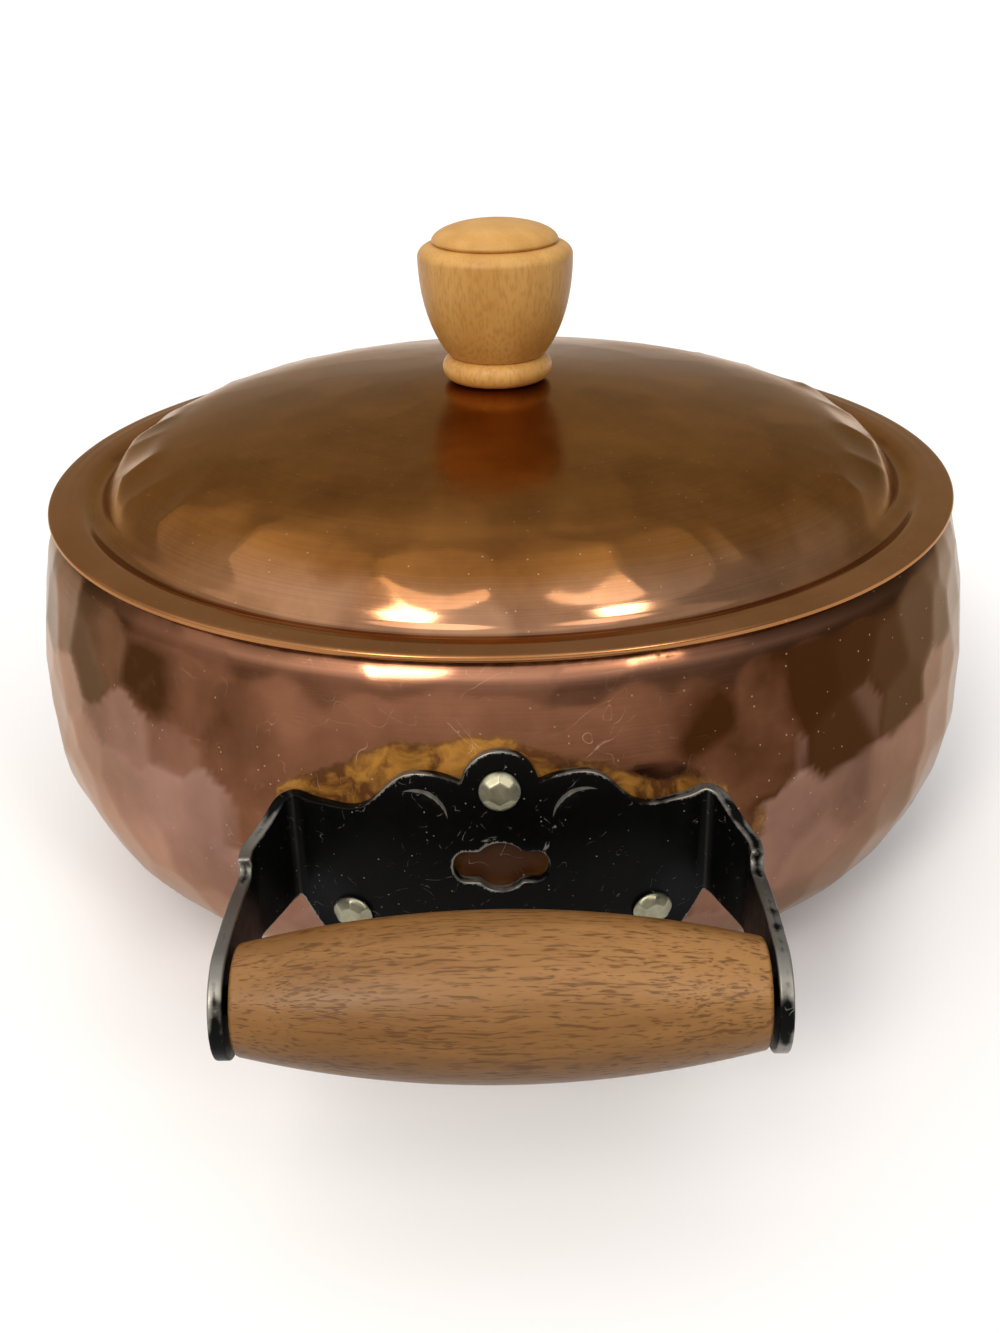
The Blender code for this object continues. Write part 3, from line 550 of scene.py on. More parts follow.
# Rosy copper below: tarnish, and partly a painted reflection of the pale floor
rosy_and_painted_reflection = add_node(tree, "Mix", {"Factor": lower_shade_and_painted_shade, 6: "#5c4135", 7: "#a88071"}, data_type="RGBA")[2]
metal = add_node(tree, "Mix", {"Factor": below, 6: brown, 7: rosy_and_painted_reflection}, data_type="RGBA")[2]
stain = add_node(tree, "TexNoise", {"Vector": place, "Scale": 160.0, "Detail": 5.0,
    "Roughness": 0.6})["Fac"]
stained = add_node(tree, "Math", {0: stain, 1: 1.9, 2: -0.95}, operation="MULTIPLY_ADD")[0]
stained = add_node(tree, "Math", {0: stained, 1: soil}, operation="ADD")[0]
stained = add_node(tree, "MapRange", {"Value": stained, "From Min": 0.30, "From Max": 0.90},
    interpolation_type="SMOOTHSTEP")["Result"]
blotch = add_node(tree, "TexNoise", {"Vector": place, "Scale": 130.0, "Detail": 5.0, "Roughness": 0.6,
    "Distortion": 0.8})["Fac"]
crust = add_node(tree, "MapRange", {"Value": blotch, "From Min": 0.41, "From Max": 0.61})["Result"]
amber = add_node(tree, "Mix", {"Factor": crust, 6: "#58300b", 7: "#a9752c"}, data_type="RGBA")[2]
# Darker patch behind the bracket's cut-out
amber = add_node(tree, "Mix", {"Factor": burnt, 6: amber, 7: "#391a04"}, data_type="RGBA")[2]
tint = add_node(tree, "Mix", {"Factor": stained, 6: metal, 7: amber}, data_type="RGBA")[2]
drying = add_node(tree, "Math", {0: stained, 1: 2.0, 2: -1.0}, operation="MULTIPLY_ADD")[0]
drying = add_node(tree, "Math", {0: drying}, operation="ABSOLUTE")[0]
drying = add_node(tree, "MapRange", {"Value": drying, "To Min": 0.45, "To Max": 0.0})[0]
tint = add_node(tree, "Mix", {"Factor": drying, 6: tint, 7: "#4a2c10"}, data_type="RGBA")[2]
hairs = [hairlines(tree, place, spread, 1.0, twist, 0.0028) for spread, twist in ((34.0, 2.6), (58.0, 1.7))]
hair = add_node(tree, "Math", {0: hairs[0], 1: hairs[1]}, operation="MAXIMUM")[0]
sparse = add_node(tree, "MapRange", {"Value": stain, "From Min": 0.48, "From Max": 0.60})["Result"]
hair = add_node(tree, "Math", {0: hair, 1: sparse}, operation="MULTIPLY")[0]
rubbed = add_node(tree, "MapRange", {"Value": polish, "From Min": 0.1, "To Max": 0.5})[0]
hair = add_node(tree, "Math", {0: hair, 1: rubbed}, operation="MULTIPLY")[0]
tint = add_node(tree, "Mix", {"Factor": hair, 6: tint, 7: "#e6c3ab"}, data_type="RGBA")[2]
dust = dust_specks(tree, place, 420.0, 0.085, 0.40)
dust = add_node(tree, "Math", {0: dust, 1: 0.42}, operation="MULTIPLY")[0]
tint = add_node(tree, "Mix", {"Factor": dust, 6: tint, 7: "#c9a98c"}, data_type="RGBA")[2]
bare = add_node(tree, "MapRange", {"Value": stained, "To Min": 1.0, "To Max": 0.35})[0]
lines = drawn_noise(tree, flat, (35.0, 1900.0, 1.0), 3.0, 0.6)
gloss = add_node(tree, "MapRange", {"Value": lines, "From Min": 0.3, "From Max": 0.7, "To Min": 0.15,
    "To Max": 0.24})["Result"]
gloss = add_node(tree, "MapRange", {"Value": stained, "To Min": gloss, "To Max": 0.5})["Result"]
bump = add_node(tree, "Bump", {"Height": lines, "Strength": 0.12, "Distance": 0.00004})["Normal"]
feed(shader, {"Base Color": tint, "Metallic": bare, "Roughness": gloss, "Normal": bump,
    "Specular Tint": "#f3e2d2"})

# Hot-tinned lining: soft grey white metal, wiped while molten, so it is a little rough and has
# clouds 18 mm across.
tin, tree, shader = new_material("wiped_tin_lining")
place = add_node(tree, "TexCoord")["Object"]
cloud = add_node(tree, "TexNoise", {"Vector": place, "Scale": 55.0, "Detail": 5.0, "Roughness": 0.6,
    "Distortion": 1.2})["Fac"]
tint = add_node(tree, "Mix", {"Factor": cloud, 6: "#8f8d88", 7: "#c4c2bc"}, data_type="RGBA")[2]
gloss = add_node(tree, "MapRange", {"Value": cloud, "To Min": 0.25, "To Max": 0.5})[0]
feed(shader, {"Base Color": tint, "Metallic": 1.0, "Roughness": gloss})

bowl = surface_object("bowl", [
    {"points": base_points, "uv": sheet_uv(base_line, bowl_columns)},
    {"points": outer_points, "uv": sheet_uv(outer_trimmed, bowl_columns, base_radius),
     "values": outer_values},
    {"points": lip_points, "uv": sheet_uv(lip_line, bowl_columns)},
    {"points": inner_points, "uv": sheet_uv(inner_down, bowl_columns), "slot": 1,
     "values": inner_values}], [copper, tin])
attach(bowl, "pot")
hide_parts("pot_bowl")


# Lid
# A copper sheet spun to a shallow crown with a tight shoulder, a groove that drops into the mouth
# and a flange that curls down a little at its rim. The shoulder is planished, the crown only
# lightly marked. It rests on the bowl's rim and is tinned underneath.

lid_radius = 0.110
lid_sheet = 0.0015
flange_width = 0.0064
groove_width = 0.0046
groove_depth = 0.0018
dome_foot_width = 0.0052
dome_inset = 0.0020
dome_height = 0.0216
crown_share = 0.52          # how much of the dome's height the crown takes, the shoulder the rest
crown_power = 1.25          # power of the crown's curve, 1 is a cone
shoulder_power = 9.0
seat_radius = 0.0120        # flat seat under the knob
fit_gap = 0.0003
lid_edge = 0.0006           # rounding of the flange's rim
flange_droop = 0.0005       # how far the flange curls down towards its rim
lid_columns = 480
lid_step = 0.0013
under_step = 0.0026
lid_mark = 0.0150
ripple_width = 0.0030       # from one lathe line of the flange to the next

flange_top = bowl_height + fit_gap + lid_sheet
flange_inner = lid_radius - flange_width
groove_middle = flange_inner - groove_width
groove_level = flange_top - groove_depth
dome_radius = groove_middle - dome_inset
dome_end = groove_middle - dome_foot_width
dome_top = flange_top + dome_height


def bezier(start, start_handle, end_handle, end, count):
    """Points on a cubic Bezier curve, the weights being the Bernstein polynomials."""
    t = np.linspace(0.0, 1.0, count)[:, None]
    knots = [np.array(p) for p in (start, start_handle, end_handle, end)]
    return ((1 - t) ** 3 * knots[0] + 3 * t * (1 - t) ** 2 * knots[1]
            + 3 * t ** 2 * (1 - t) * knots[2] + t ** 3 * knots[3])


dome_radii = np.linspace(0.0, dome_end, 400)
dome_places = np.clip((dome_radii - seat_radius) / (dome_radius - seat_radius), 0.0, 1.0)
dome_heights = flange_top + dome_height * (1 - crown_share * dome_places ** crown_power
                                           - (1 - crown_share) * dome_places ** shoulder_power)
end_slope = (dome_heights[-1] - dome_heights[-2]) / (dome_radii[-1] - dome_radii[-2])
flange_radii = np.linspace(flange_inner, lid_radius - lid_edge, 12)
flange_places = (flange_radii - flange_inner) / (lid_radius - lid_edge - flange_inner)
rim_top = flange_top - flange_droop
foot_reach = dome_foot_width / 2
rise_reach = groove_width / 2
top_line = np.concatenate([
    np.stack([dome_radii, dome_heights], 1),
    bezier((dome_end, dome_heights[-1]), (dome_end + foot_reach, dome_heights[-1] + foot_reach * end_slope),
           (groove_middle - foot_reach, groove_level), (groove_middle, groove_level), 40)[1:],
    bezier((groove_middle, groove_level), (groove_middle + rise_reach, groove_level),
           (flange_inner - rise_reach, flange_top), (flange_inner, flange_top), 40)[1:],
    np.stack([flange_radii, flange_top - flange_droop * flange_places ** 2], 1)[1:]])
crown_line = even_line(top_line, lid_step)
crown_along = line_length(crown_line)
edge_line = arc((lid_radius - lid_edge, rim_top - lid_edge), (lid_edge,) * 2, math.pi / 2, 0.0, 6)
edge_under = arc((lid_radius - lid_edge, rim_top - lid_sheet + lid_edge), (lid_edge,) * 2,
                 0.0, -math.pi / 2, 6)
under_line = top_line + line_normals(top_line) * lid_sheet
under_line = even_line(under_line[::-1], under_step)
under_line[-1, 0] = 0.0
crown_radii = np.interp(np.arange(0.0, crown_along[-1] + 2 * lid_mark, lid_mark),
                        crown_along, crown_line[:, 0])
crown_counts = [max(3, int(round(2 * math.pi * r / lid_mark))) for r in crown_radii]

# Hammer marks of the lid, by radius: none by the knob, faint on the crown, full on the band at the
# dome's foot, and none in the groove and on the flange
lid_bow = 8.0
lid_tilt = 0.036
lid_seed = 21
lid_mark_level = 0.00013
seat_clear, seat_fade = 0.015, 0.010
faint_share = 0.05
band_start, band_rise = 0.0795, 0.0070
band_past, band_fade = 0.0010, 0.0030       # how far past the dome's end the band goes
# Painted highlight on the front of the lid: a pinker, brighter band at the dome's foot
painted_band_start, painted_band_rise, painted_band_stray = 0.0885, 0.0075, 0.22
painted_band_spread = 0.8         # the buffed band fades out this much slower than a cosine
flange_reach, flange_blend = 0.003, 0.002   # how far inside the flange its look begins


def lid_values(line, along, columns):
    """Hammer marks of the lid, and the places of its flange and of its painted highlight band."""
    turn = whole_turn(columns) + 0.0 * along[:, None]
    distance = along[:, None] + 0.0 * turn
    radius = line[:, :1] + 0.0 * turn
    height, tone, _ = hammer_marks(turn, radius, distance, lid_mark, crown_counts,
                                   lid_bow, lid_tilt, lid_seed)
    share = np.clip((radius - band_start) / band_rise, 0.0, 1.0)
    share = faint_share + (1 - faint_share) * share * share * (3 - 2 * share)
    share = share * np.clip((dome_end + band_past - radius) / band_fade, 0.0, 1.0)
    share = share * np.clip((radius - seat_clear) / seat_fade, 0.0, 1.0)
    flange = np.clip((radius - flange_inner + flange_reach) / flange_blend, 0.0, 1.0)
    # Painted highlight: the band on the front of the lid
    buffed = np.cos(np.clip(turn * painted_band_spread, -math.pi / 2, math.pi / 2)) ** 4
    buffed = buffed * np.clip((radius - painted_band_start) / painted_band_rise + painted_band_stray * tone, 0.0, 1.0)
    return (height - lid_mark_level) * share, {"tone": tone * (1.0 - flange), "flange": flange,
                                               "buffed": buffed}


crown_offset, crown_values = lid_values(crown_line, crown_along, lid_columns)
under_along = np.interp(under_line[:, 0], crown_line[:, 0], crown_along)
under_offset, under_values = lid_values(under_line, under_along, lid_columns)
crown_points = turned_sheet(crown_line, lid_columns, -crown_offset)
under_points = turned_sheet(under_line, lid_columns, under_offset)
rim_line = np.concatenate([crown_line[-1:], edge_line[1:], edge_under, under_line[:1]])
rim_points = turned_sheet(rim_line, lid_columns)

# Browned copper: polished sheet under a warm brown tarnish, with clouds 22 mm across, mottling of
# 6 mm and faint lathe streaks 0.45 mm apart, ripples on the flange, and a pinker, brighter, glossier
# band at the front, a painted highlight. The dust is as on the bowl.
browned, tree, shader = new_material("browned_copper")
place = add_node(tree, "TexCoord")["Object"]
flat = add_node(tree, "UVMap", uv_map="flat")["UV"]
tone = add_node(tree, "Attribute", attribute_name="tone")["Fac"]
flange = add_node(tree, "Attribute", attribute_name="flange")["Fac"]
level = add_node(tree, "VectorMath", {0: place, 1: (1.0, 1.0, 0.0)}, operation="MULTIPLY")
radius = add_node(tree, "VectorMath", {0: level["Vector"]}, operation="LENGTH")["Value"]
cloud = add_node(tree, "TexNoise", {"Vector": place, "Scale": 45.0, "Detail": 5.0,
    "Roughness": 0.55})["Fac"]
mottle = add_node(tree, "TexNoise", {"Vector": place, "Scale": 170.0, "Detail": 5.0,
    "Roughness": 0.65})["Fac"]
lines = drawn_noise(tree, flat, (8.0, 2200.0, 1.0), 2.0, 0.6)
patina = add_node(tree, "Math", {0: mottle, 1: lines}, operation="ADD")[0]
patina = add_node(tree, "Math", {0: patina, 1: 0.45, 2: -0.45}, operation="MULTIPLY_ADD")[0]
patina = add_node(tree, "Math", {0: patina, 1: cloud}, operation="ADD")[0]
shade = add_node(tree, "Math", {0: tone, 1: 0.24, 2: patina}, operation="MULTIPLY_ADD")[0]
crown_tint = add_node(tree, "Mix", {"Factor": shade, 6: "#714620", 7: "#a06a34"}, data_type="RGBA")[2]
# Painted highlight: the pinker, brighter band on the front of the lid
painted_band_tint = add_node(tree, "Mix", {"Factor": shade, 6: "#805a42", 7: "#ba8c6b"}, data_type="RGBA")[2]
band = add_node(tree, "Attribute", attribute_name="buffed")["Fac"]
tint = add_node(tree, "Mix", {"Factor": band, 6: crown_tint, 7: painted_band_tint}, data_type="RGBA")[2]
flange_tint = add_node(tree, "Mix", {"Factor": cloud, 6: "#8c5d36", 7: "#b37d50"}, data_type="RGBA")[2]
tint = add_node(tree, "Mix", {"Factor": flange, 6: tint, 7: flange_tint}, data_type="RGBA")[2]
dust = dust_specks(tree, place, 420.0, 0.085, 0.40)
dust = add_node(tree, "Math", {0: dust, 1: 0.42}, operation="MULTIPLY")[0]
tint = add_node(tree, "Mix", {"Factor": dust, 6: tint, 7: "#d0b090"}, data_type="RGBA")[2]
gloss = add_node(tree, "MapRange", {"Value": cloud, "From Min": 0.3, "From Max": 0.7, "To Min": 0.16,
    "To Max": 0.26})["Result"]
gloss = add_node(tree, "MapRange", {"Value": band, "To Min": gloss, "To Max": 0.11})[0]
ripple = add_node(tree, "Math", {0: radius, 1: 2 * math.pi / ripple_width}, operation="MULTIPLY")[0]
ripple = add_node(tree, "Math", {0: ripple}, operation="SINE")[0]
ripple = add_node(tree, "Math", {0: ripple, 1: flange}, operation="MULTIPLY")[0]
ripple = add_node(tree, "Math", {0: ripple, 1: 0.8, 2: lines}, operation="MULTIPLY_ADD")[0]
deep = add_node(tree, "MapRange", {"Value": flange, "To Min": 0.10, "To Max": 0.6})[0]
bump = add_node(tree, "Bump", {"Height": ripple, "Strength": deep, "Distance": 0.00005})["Normal"]
feed(shader, {"Base Color": tint, "Metallic": 1.0, "Roughness": gloss, "Normal": bump,
    "Specular Tint": "#eddcc6"})

lid = surface_object("lid", [
    {"points": crown_points, "uv": sheet_uv(crown_line, lid_columns), "values": crown_values},
    {"points": rim_points, "uv": sheet_uv(rim_line, lid_columns, crown_along[-1]),
     "values": {"flange": 1.0}},
    {"points": under_points, "uv": sheet_uv(under_line, lid_columns), "slot": 1,
     "values": under_values}], [browned, tin])
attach(lid, "lid")
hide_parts("lid_shell")


# Knob
# Turned from one piece of pale hardwood, waxed: a domed cap over a groove, a rounded shoulder,
# a tapering cup and a collar. The grain stands upright, so the pores show as short dashes.

knob_radius = 0.0184
knob_height = 0.0374
knob_cap_radius = 0.0150
knob_cap_height = 0.0046
knob_groove_depth = 0.0004
knob_shoulder_width = 0.0044
knob_shoulder_drop = 0.0030
knob_neck_radius = 0.0114
knob_collar_radius = 0.0133
knob_collar_height = 0.0060
knob_hole_radius = 0.0023
knob_hole_depth = 0.0160
knob_columns = 128
cap_fade = 0.0040           # height below the cap over which the pores fade

knob_foot = dome_top + fit_gap
knob_top = knob_foot + knob_height
cap_edge = knob_top - knob_cap_height
knob_cap = arc((0.0, cap_edge), (knob_cap_radius, knob_cap_height), math.pi / 2, 0.06, 40)
groove_bottom = (knob_cap_radius - knob_groove_depth, cap_edge - knob_groove_depth)
knob_shoulder = arc((knob_radius - knob_shoulder_width, groove_bottom[1] - knob_shoulder_drop),
                    (knob_shoulder_width, knob_shoulder_drop), math.pi / 2, 0.0, 24)
collar_top = knob_foot + knob_collar_height
body_drop = (knob_shoulder[-1, 1] - collar_top) / 2
knob_body = bezier(knob_shoulder[-1], (knob_radius, knob_shoulder[-1, 1] - body_drop),
                   (knob_neck_radius + (knob_radius - knob_neck_radius) / 2,
                    collar_top + body_drop / 3), (knob_neck_radius, collar_top), 40)
collar_half = knob_collar_height / 2
knob_collar = arc((knob_collar_radius - collar_half, knob_foot + collar_half), (collar_half,) * 2,
                  math.pi / 2, -math.pi / 2, 30)
knob_hole = np.array([(knob_hole_radius, knob_foot), (knob_hole_radius, knob_foot + knob_hole_depth),
                      (0.0, knob_foot + knob_hole_depth)])
knob_line = np.concatenate([knob_cap, [groove_bottom], knob_shoulder, knob_body[1:],
                            knob_collar, knob_hole])

# Waxed pale hardwood: honey yellow with a faint upright figure 8 mm wide, and brown pores 2.8 mm
# long and 0.7 mm apart, coarser than they are, which fade on the cap, where the grain ends.
pale_wood, tree, shader = new_material("waxed_pale_hardwood")
place = add_node(tree, "TexCoord")["Object"]
pore = drawn_noise(tree, place, (1500.0, 1500.0, 360.0), 2.0)
pore = add_node(tree, "MapRange", {"Value": pore, "From Min": 0.42, "From Max": 0.70},
    interpolation_type="SMOOTHSTEP")["Result"]
figure = drawn_noise(tree, place, (130.0, 130.0, 14.0), 3.0)
wood = add_node(tree, "Mix", {"Factor": figure, 6: "#af7a33", 7: "#dbac64"}, data_type="RGBA")[2]
up = add_node(tree, "SeparateXYZ", {0: place})["Z"]
upright = add_node(tree, "MapRange", {"Value": up, "From Min": cap_edge - cap_fade, "From Max": cap_edge,
    "To Min": 0.34, "To Max": 0.10})["Result"]
pore = add_node(tree, "Math", {0: pore, 1: upright}, operation="MULTIPLY")[0]
wood = add_node(tree, "Mix", {"Factor": pore, 6: wood, 7: "#95622a"}, data_type="RGBA")[2]
bump = add_node(tree, "Bump", {"Height": pore, "Strength": 0.3, "Distance": 0.0001}, invert=True)["Normal"]
feed(shader, {"Base Color": wood, "Roughness": 0.42, "Specular IOR Level": 0.35, "Normal": bump})

knob = surface_object("knob", [{"points": turned_sheet(knob_line, knob_columns),
                                "uv": sheet_uv(knob_line, knob_columns)}], [pale_wood])
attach(knob, "lid")
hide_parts("lid_knob")


# Knob screw and washer
# A slotted steel screw comes up through a flat steel washer under the lid and into the knob, and
# holds it on. Both keep their CAD solids and take only the look of the steel.

# Bright zinc-plated steel: cool grey with a soft sheen, clouded every 1.7 mm.
bright_steel, tree, shader = new_material("bright_steel")
place = add_node(tree, "TexCoord")["Object"]
cloud = add_node(tree, "TexNoise", {"Vector": place, "Scale": 600.0, "Detail": 4.0})["Fac"]
tint = add_node(tree, "Mix", {"Factor": cloud, 6: "#77766f", 7: "#a9a8a0"}, data_type="RGBA")[2]
gloss = add_node(tree, "MapRange", {"Value": cloud, "To Min": 0.25, "To Max": 0.45})[0]
feed(shader, {"Base Color": tint, "Metallic": 1.0, "Roughness": gloss})
for node_name in ("knob_screw", "knob_washer"):
    for material_slot in bpy.data.objects[node_name].material_slots:
        material_slot.material = bright_steel


# Brackets
# Each handle's bracket is punched from 2.5 mm steel sheet, formed round the wall, folded at both
# sides into splayed arms and bent straight again for the ears. Its black enamel is worn at the edges.

bracket_sheet = 0.0025
fold_distance = 0.0415
fold_radius = 0.0026
splay_angle = math.radians(24.0)
ear_bend_radius = 0.0060
ear_radius = 0.0102
easing_width = 0.0060
grip_length = 0.091
grip_end_play = 0.0008
grip_height = 0.050
grip_reach = 0.154
arch_radius = 0.0076
arch_end_angle = math.radians(10.0)
top_rivet_height = 0.0684
side_rivet_height = 0.0401
side_rivet_distance = 0.0297
hump = (0.0155, 0.0714)
dip = (0.0305, 0.0631)
corner = (0.0405, 0.0655)
tooth_distance = 0.0023
tooth_height = 0.0612
notch_height = 0.0578
notch_width = 0.0012
notch_pull = 0.0017         # how far the notch is drawn back under the tooth
vee_height = 0.0422
vee_radius = 0.0008
tab_radius = 0.0085
plate_bottom = 0.0350
slot_height = 0.0521
slot_half_length = 0.0093
slot_half_height = 0.0033
slot_end_width = 0.0025
bulge_half_width = 0.0041
bulge_rise = 0.0020
worn_edge = 0.00035         # rounding of the sheet's edges
across_edge = 0.25          # how much the distance across a cut edge holds back the wear
# Painted sheen: a lighter grey patch on the black beside each side rivet
painted_sheen_shift = (0.006, 0.001)     # middle of the grey haze, from a side rivet
painted_sheen_reach = 0.011
wear_low, wear_high = -0.0005, 0.0015       # how far the wear reaches in from an edge, by patches
wear_blend = 0.0004
handled_start, handled_full = 0.072, 0.086  # along the sheet, where hands wear the arm more
fold_wear = 0.0007          # reach of the bare line along a fold
bracket_step = 0.0005
edge_step = 0.0007          # steps along the outer edges, and below along the cut-out's
slot_step = 0.0004
least_step = 0.00009
outline_step = 0.0002       # steps of the finest outlines, and of the cut-out's
slot_outline_step = 0.0001
edge_soften = 0.0005        # reach of the rounding of the outline's corners, and of the cut-out's
slot_soften = 0.0003
tab_start = math.radians(-105.0)
tab_end = math.radians(-35.0)
vee_start = math.radians(150.0)
vee_end = math.radians(30.0)
notch_bell = (0.0022, 0.0013)
notch_bell_drop = 0.0004

bracket_mid_radius = belly_radius + fit_gap + bracket_sheet / 2
fold_mid_radius = fold_radius + bracket_sheet / 2
ear_mid_radius = ear_bend_radius + bracket_sheet / 2
ear_plane = grip_length / 2 + grip_end_play + bracket_sheet / 2


def heading_ahead(heading):
    """Direction along the sheet, seen from above."""
    return np.stack([np.cos(heading), np.sin(heading)], -1)


def heading_out(heading):
    """Direction square to the sheet and away from the pot, seen from above."""
    return np.stack([np.sin(heading), -np.cos(heading)], -1)


# The fold's start sets how far it turns, and its turn sets the start: eight rounds settle both
fold_start = fold_distance
for _ in range(8):
    plate_turn = fold_start / bracket_mid_radius
    fold_turn = plate_turn + math.pi / 2 - splay_angle
    fold_start = fold_distance - fold_mid_radius * fold_turn / 2
fold_end = fold_start + fold_mid_radius * fold_turn
fold_centre = heading_out(plate_turn) * (bracket_mid_radius + fold_mid_radius)
arm_heading = plate_turn - fold_turn
arm_start = fold_centre - heading_out(arm_heading) * fold_mid_radius
bend_shift = -(heading_out(-math.pi / 2) - heading_out(arm_heading))[0] * ear_mid_radius
bend_start = fold_end + (ear_plane - arm_start[0] - bend_shift) / math.sin(splay_angle)
ear_centre = (arm_start + heading_ahead(arm_heading) * (bend_start - fold_end)
              + heading_out(arm_heading) * ear_mid_radius)
ear_start = bend_start + ear_mid_radius * splay_angle
ear_foot = ear_centre - heading_out(-math.pi / 2) * ear_mid_radius
rod_distance = ear_start + grip_reach + ear_foot[1]


def wall_radius(height):
    """Radius of the bowl's outer wall at a height."""
    upper = belly_radius - upper_wall_radius * (1 - np.cos(wall_lean(height)))
    sine = np.sqrt(np.clip(1 - ((belly_height - height) / belly_height) ** 2, 0.0, 1.0))
    return np.where(height >= belly_height, upper, base_radius + corner_width * sine)


def wall_lean(height):
    """How far the wall's normal leans up at a height, negative below the belly."""
    upper = np.arcsin(np.clip((height - belly_height) / upper_wall_radius, 0.0, 1.0))
    turn = np.arccos(np.clip((belly_height - height) / belly_height, 0.0, 1.0))
    lower = -np.arctan2(np.cos(turn) / belly_height, np.sin(turn) / corner_width)
    return np.where(height >= belly_height, upper, lower)


def formed(x, y, depth):
    """Where points of the flat blank lie on the bent bracket.

    From above the sheet follows five runs: an arc round the pot, the fold, a straight arm, the
    ear's bend and the straight ear. Over the plate the sheet also follows the wall's curve.
    """
    x, y, depth = np.broadcast_arrays(x, y, depth)
    distance = np.abs(x)
    side = np.where(x < 0.0, -1.0, 1.0)
    heading = np.select(
        [distance <= fold_start, distance <= fold_end, distance <= bend_start, distance <= ear_start],
        [distance / bracket_mid_radius, plate_turn - (distance - fold_start) / fold_mid_radius,
         arm_heading + 0.0 * distance, arm_heading - (distance - bend_start) / ear_mid_radius],
        -math.pi / 2)
    square = heading_out(heading)
    middle = np.select(
        [(distance <= fold_start)[..., None], (distance <= fold_end)[..., None],
         (distance <= bend_start)[..., None], (distance <= ear_start)[..., None]],
        [square * bracket_mid_radius, fold_centre - square * fold_mid_radius,
         arm_start + heading_ahead(arm_heading) * (distance - fold_end)[..., None],
         ear_centre - square * ear_mid_radius],
        ear_foot + heading_ahead(-math.pi / 2) * (distance - ear_start)[..., None])
    flat = middle + square * depth[..., None]
    bent = np.stack([side * flat[..., 0], flat[..., 1], y], -1)
    ease = np.clip((fold_start - distance) / easing_width, 0.0, 1.0)
    ease = (ease * ease * (3 - 2 * ease))[..., None]
    lean = wall_lean(y)
    off = fit_gap + bracket_sheet / 2 + depth
    reach = wall_radius(y) + off * np.cos(lean)
    on_wall = np.stack([side * square[..., 0] * reach, square[..., 1] * reach,
                        y + off * np.sin(lean)], -1)
    return bent * (1 - ease) + on_wall * ease


valley = arc((0.0, top_rivet_height), (arch_radius,) * 2, arch_end_angle, arch_end_angle, 1)[0]
hump_reach = (hump[0] - valley[0]) / 2
dip_reach = (dip[0] - hump[0]) / 2
corner_reach = (corner[0] - dip[0]) / 2
tooth = (ear_start + tooth_distance, tooth_height)
arm_width = tooth[0] - corner[0]
notch = (tooth[0] + notch_width, notch_height)
ear_top = (rod_distance, grip_height + ear_radius)
ear_reach = (ear_top[0] - notch[0]) / 2
upper_edge = np.concatenate([
    arc((0.0, top_rivet_height), (arch_radius,) * 2, math.pi / 2, arch_end_angle, 40),
    bezier(valley, (valley[0] + hump_reach / 2, hump[1] - hump_reach / 4),
           (hump[0] - hump_reach, hump[1]), hump, 30)[1:],
    bezier(hump, (hump[0] + dip_reach, hump[1]), (dip[0] - dip_reach, dip[1]), dip, 40)[1:],
    bezier(dip, (dip[0] + corner_reach, dip[1]),
           (corner[0] - corner_reach / 2, corner[1] - corner_reach / 8), corner, 30)[1:],
    bezier(corner, (corner[0] + arm_width / 4, corner[1]), (tooth[0] - arm_width / 2, tooth[1]),
           tooth, 40)[1:],
    bezier(tooth, (tooth[0] + notch_width / 3, tooth[1]), (notch[0] - notch_width / 3, notch[1]),
           notch, 20)[1:],
    bezier(notch, (notch[0] + ear_reach / 4, notch[1]),
           (ear_top[0] - ear_reach * 3 / 2, ear_top[1]), ear_top, 40)[1:],
    arc((rod_distance, grip_height), (ear_radius,) * 2, math.pi / 2, 0.0, 40)[1:]])
lower_edge = np.concatenate([
    bezier((0.0, plate_bottom), (side_rivet_distance / 3, plate_bottom),
           (side_rivet_distance * 2 / 3, plate_bottom),
           arc((side_rivet_distance, side_rivet_height), (tab_radius,) * 2,
               tab_start, tab_start, 1)[0], 30),
    arc((side_rivet_distance, side_rivet_height), (tab_radius,) * 2,
        tab_start, tab_end, 30)[1:],
    arc((fold_distance, vee_height - vee_radius), (vee_radius,) * 2,
        vee_start, vee_end, 14),
    arc((rod_distance, grip_height), (ear_radius,) * 2, -math.pi / 2, 0.0, 40)])
bulge_radius = (bulge_half_width ** 2 + bulge_rise ** 2) / (2 * bulge_rise)
bulge_spread = math.asin(bulge_half_width / bulge_radius)
slot_edge = np.concatenate([
    arc((0.0, slot_half_height + bulge_rise - bulge_radius), (bulge_radius,) * 2,
        math.pi / 2, math.pi / 2 - bulge_spread, 24),
    arc((slot_half_length - slot_end_width, 0.0), (slot_end_width, slot_half_height),
        math.pi / 2, 0.0, 24)])


def softened(line, step, reach):
    """The line at even steps, its corners rounded by averaging each point with its neighbours."""
    even = even_line(line, step)
    half = int(round(reach / step))
    weights = np.hanning(2 * half + 3)[1:-1]
    weights /= weights.sum()
    padded = np.concatenate([2 * even[0] - even[half:0:-1], even, 2 * even[-1] - even[-2:-half - 2:-1]])
    smooth = np.stack([np.convolve(padded[:, i], weights, "valid") for i in (0, 1)], 1)
    smooth[0], smooth[-1] = even[0], even[-1]
    return smooth


def inset(line, distance, inward):
    """The line moved square to itself; inward is 1 where the sheet lies to its right."""
    moved = line + line_normals(line) * distance * inward
    moved[0, 0] = line[0, 0]
    moved[-1, 1] = line[-1, 1]
    return moved


upper_edge = softened(upper_edge, outline_step, edge_soften)
lower_edge = softened(lower_edge, outline_step, edge_soften)
slot_edge = softened(slot_edge, slot_outline_step, slot_soften)


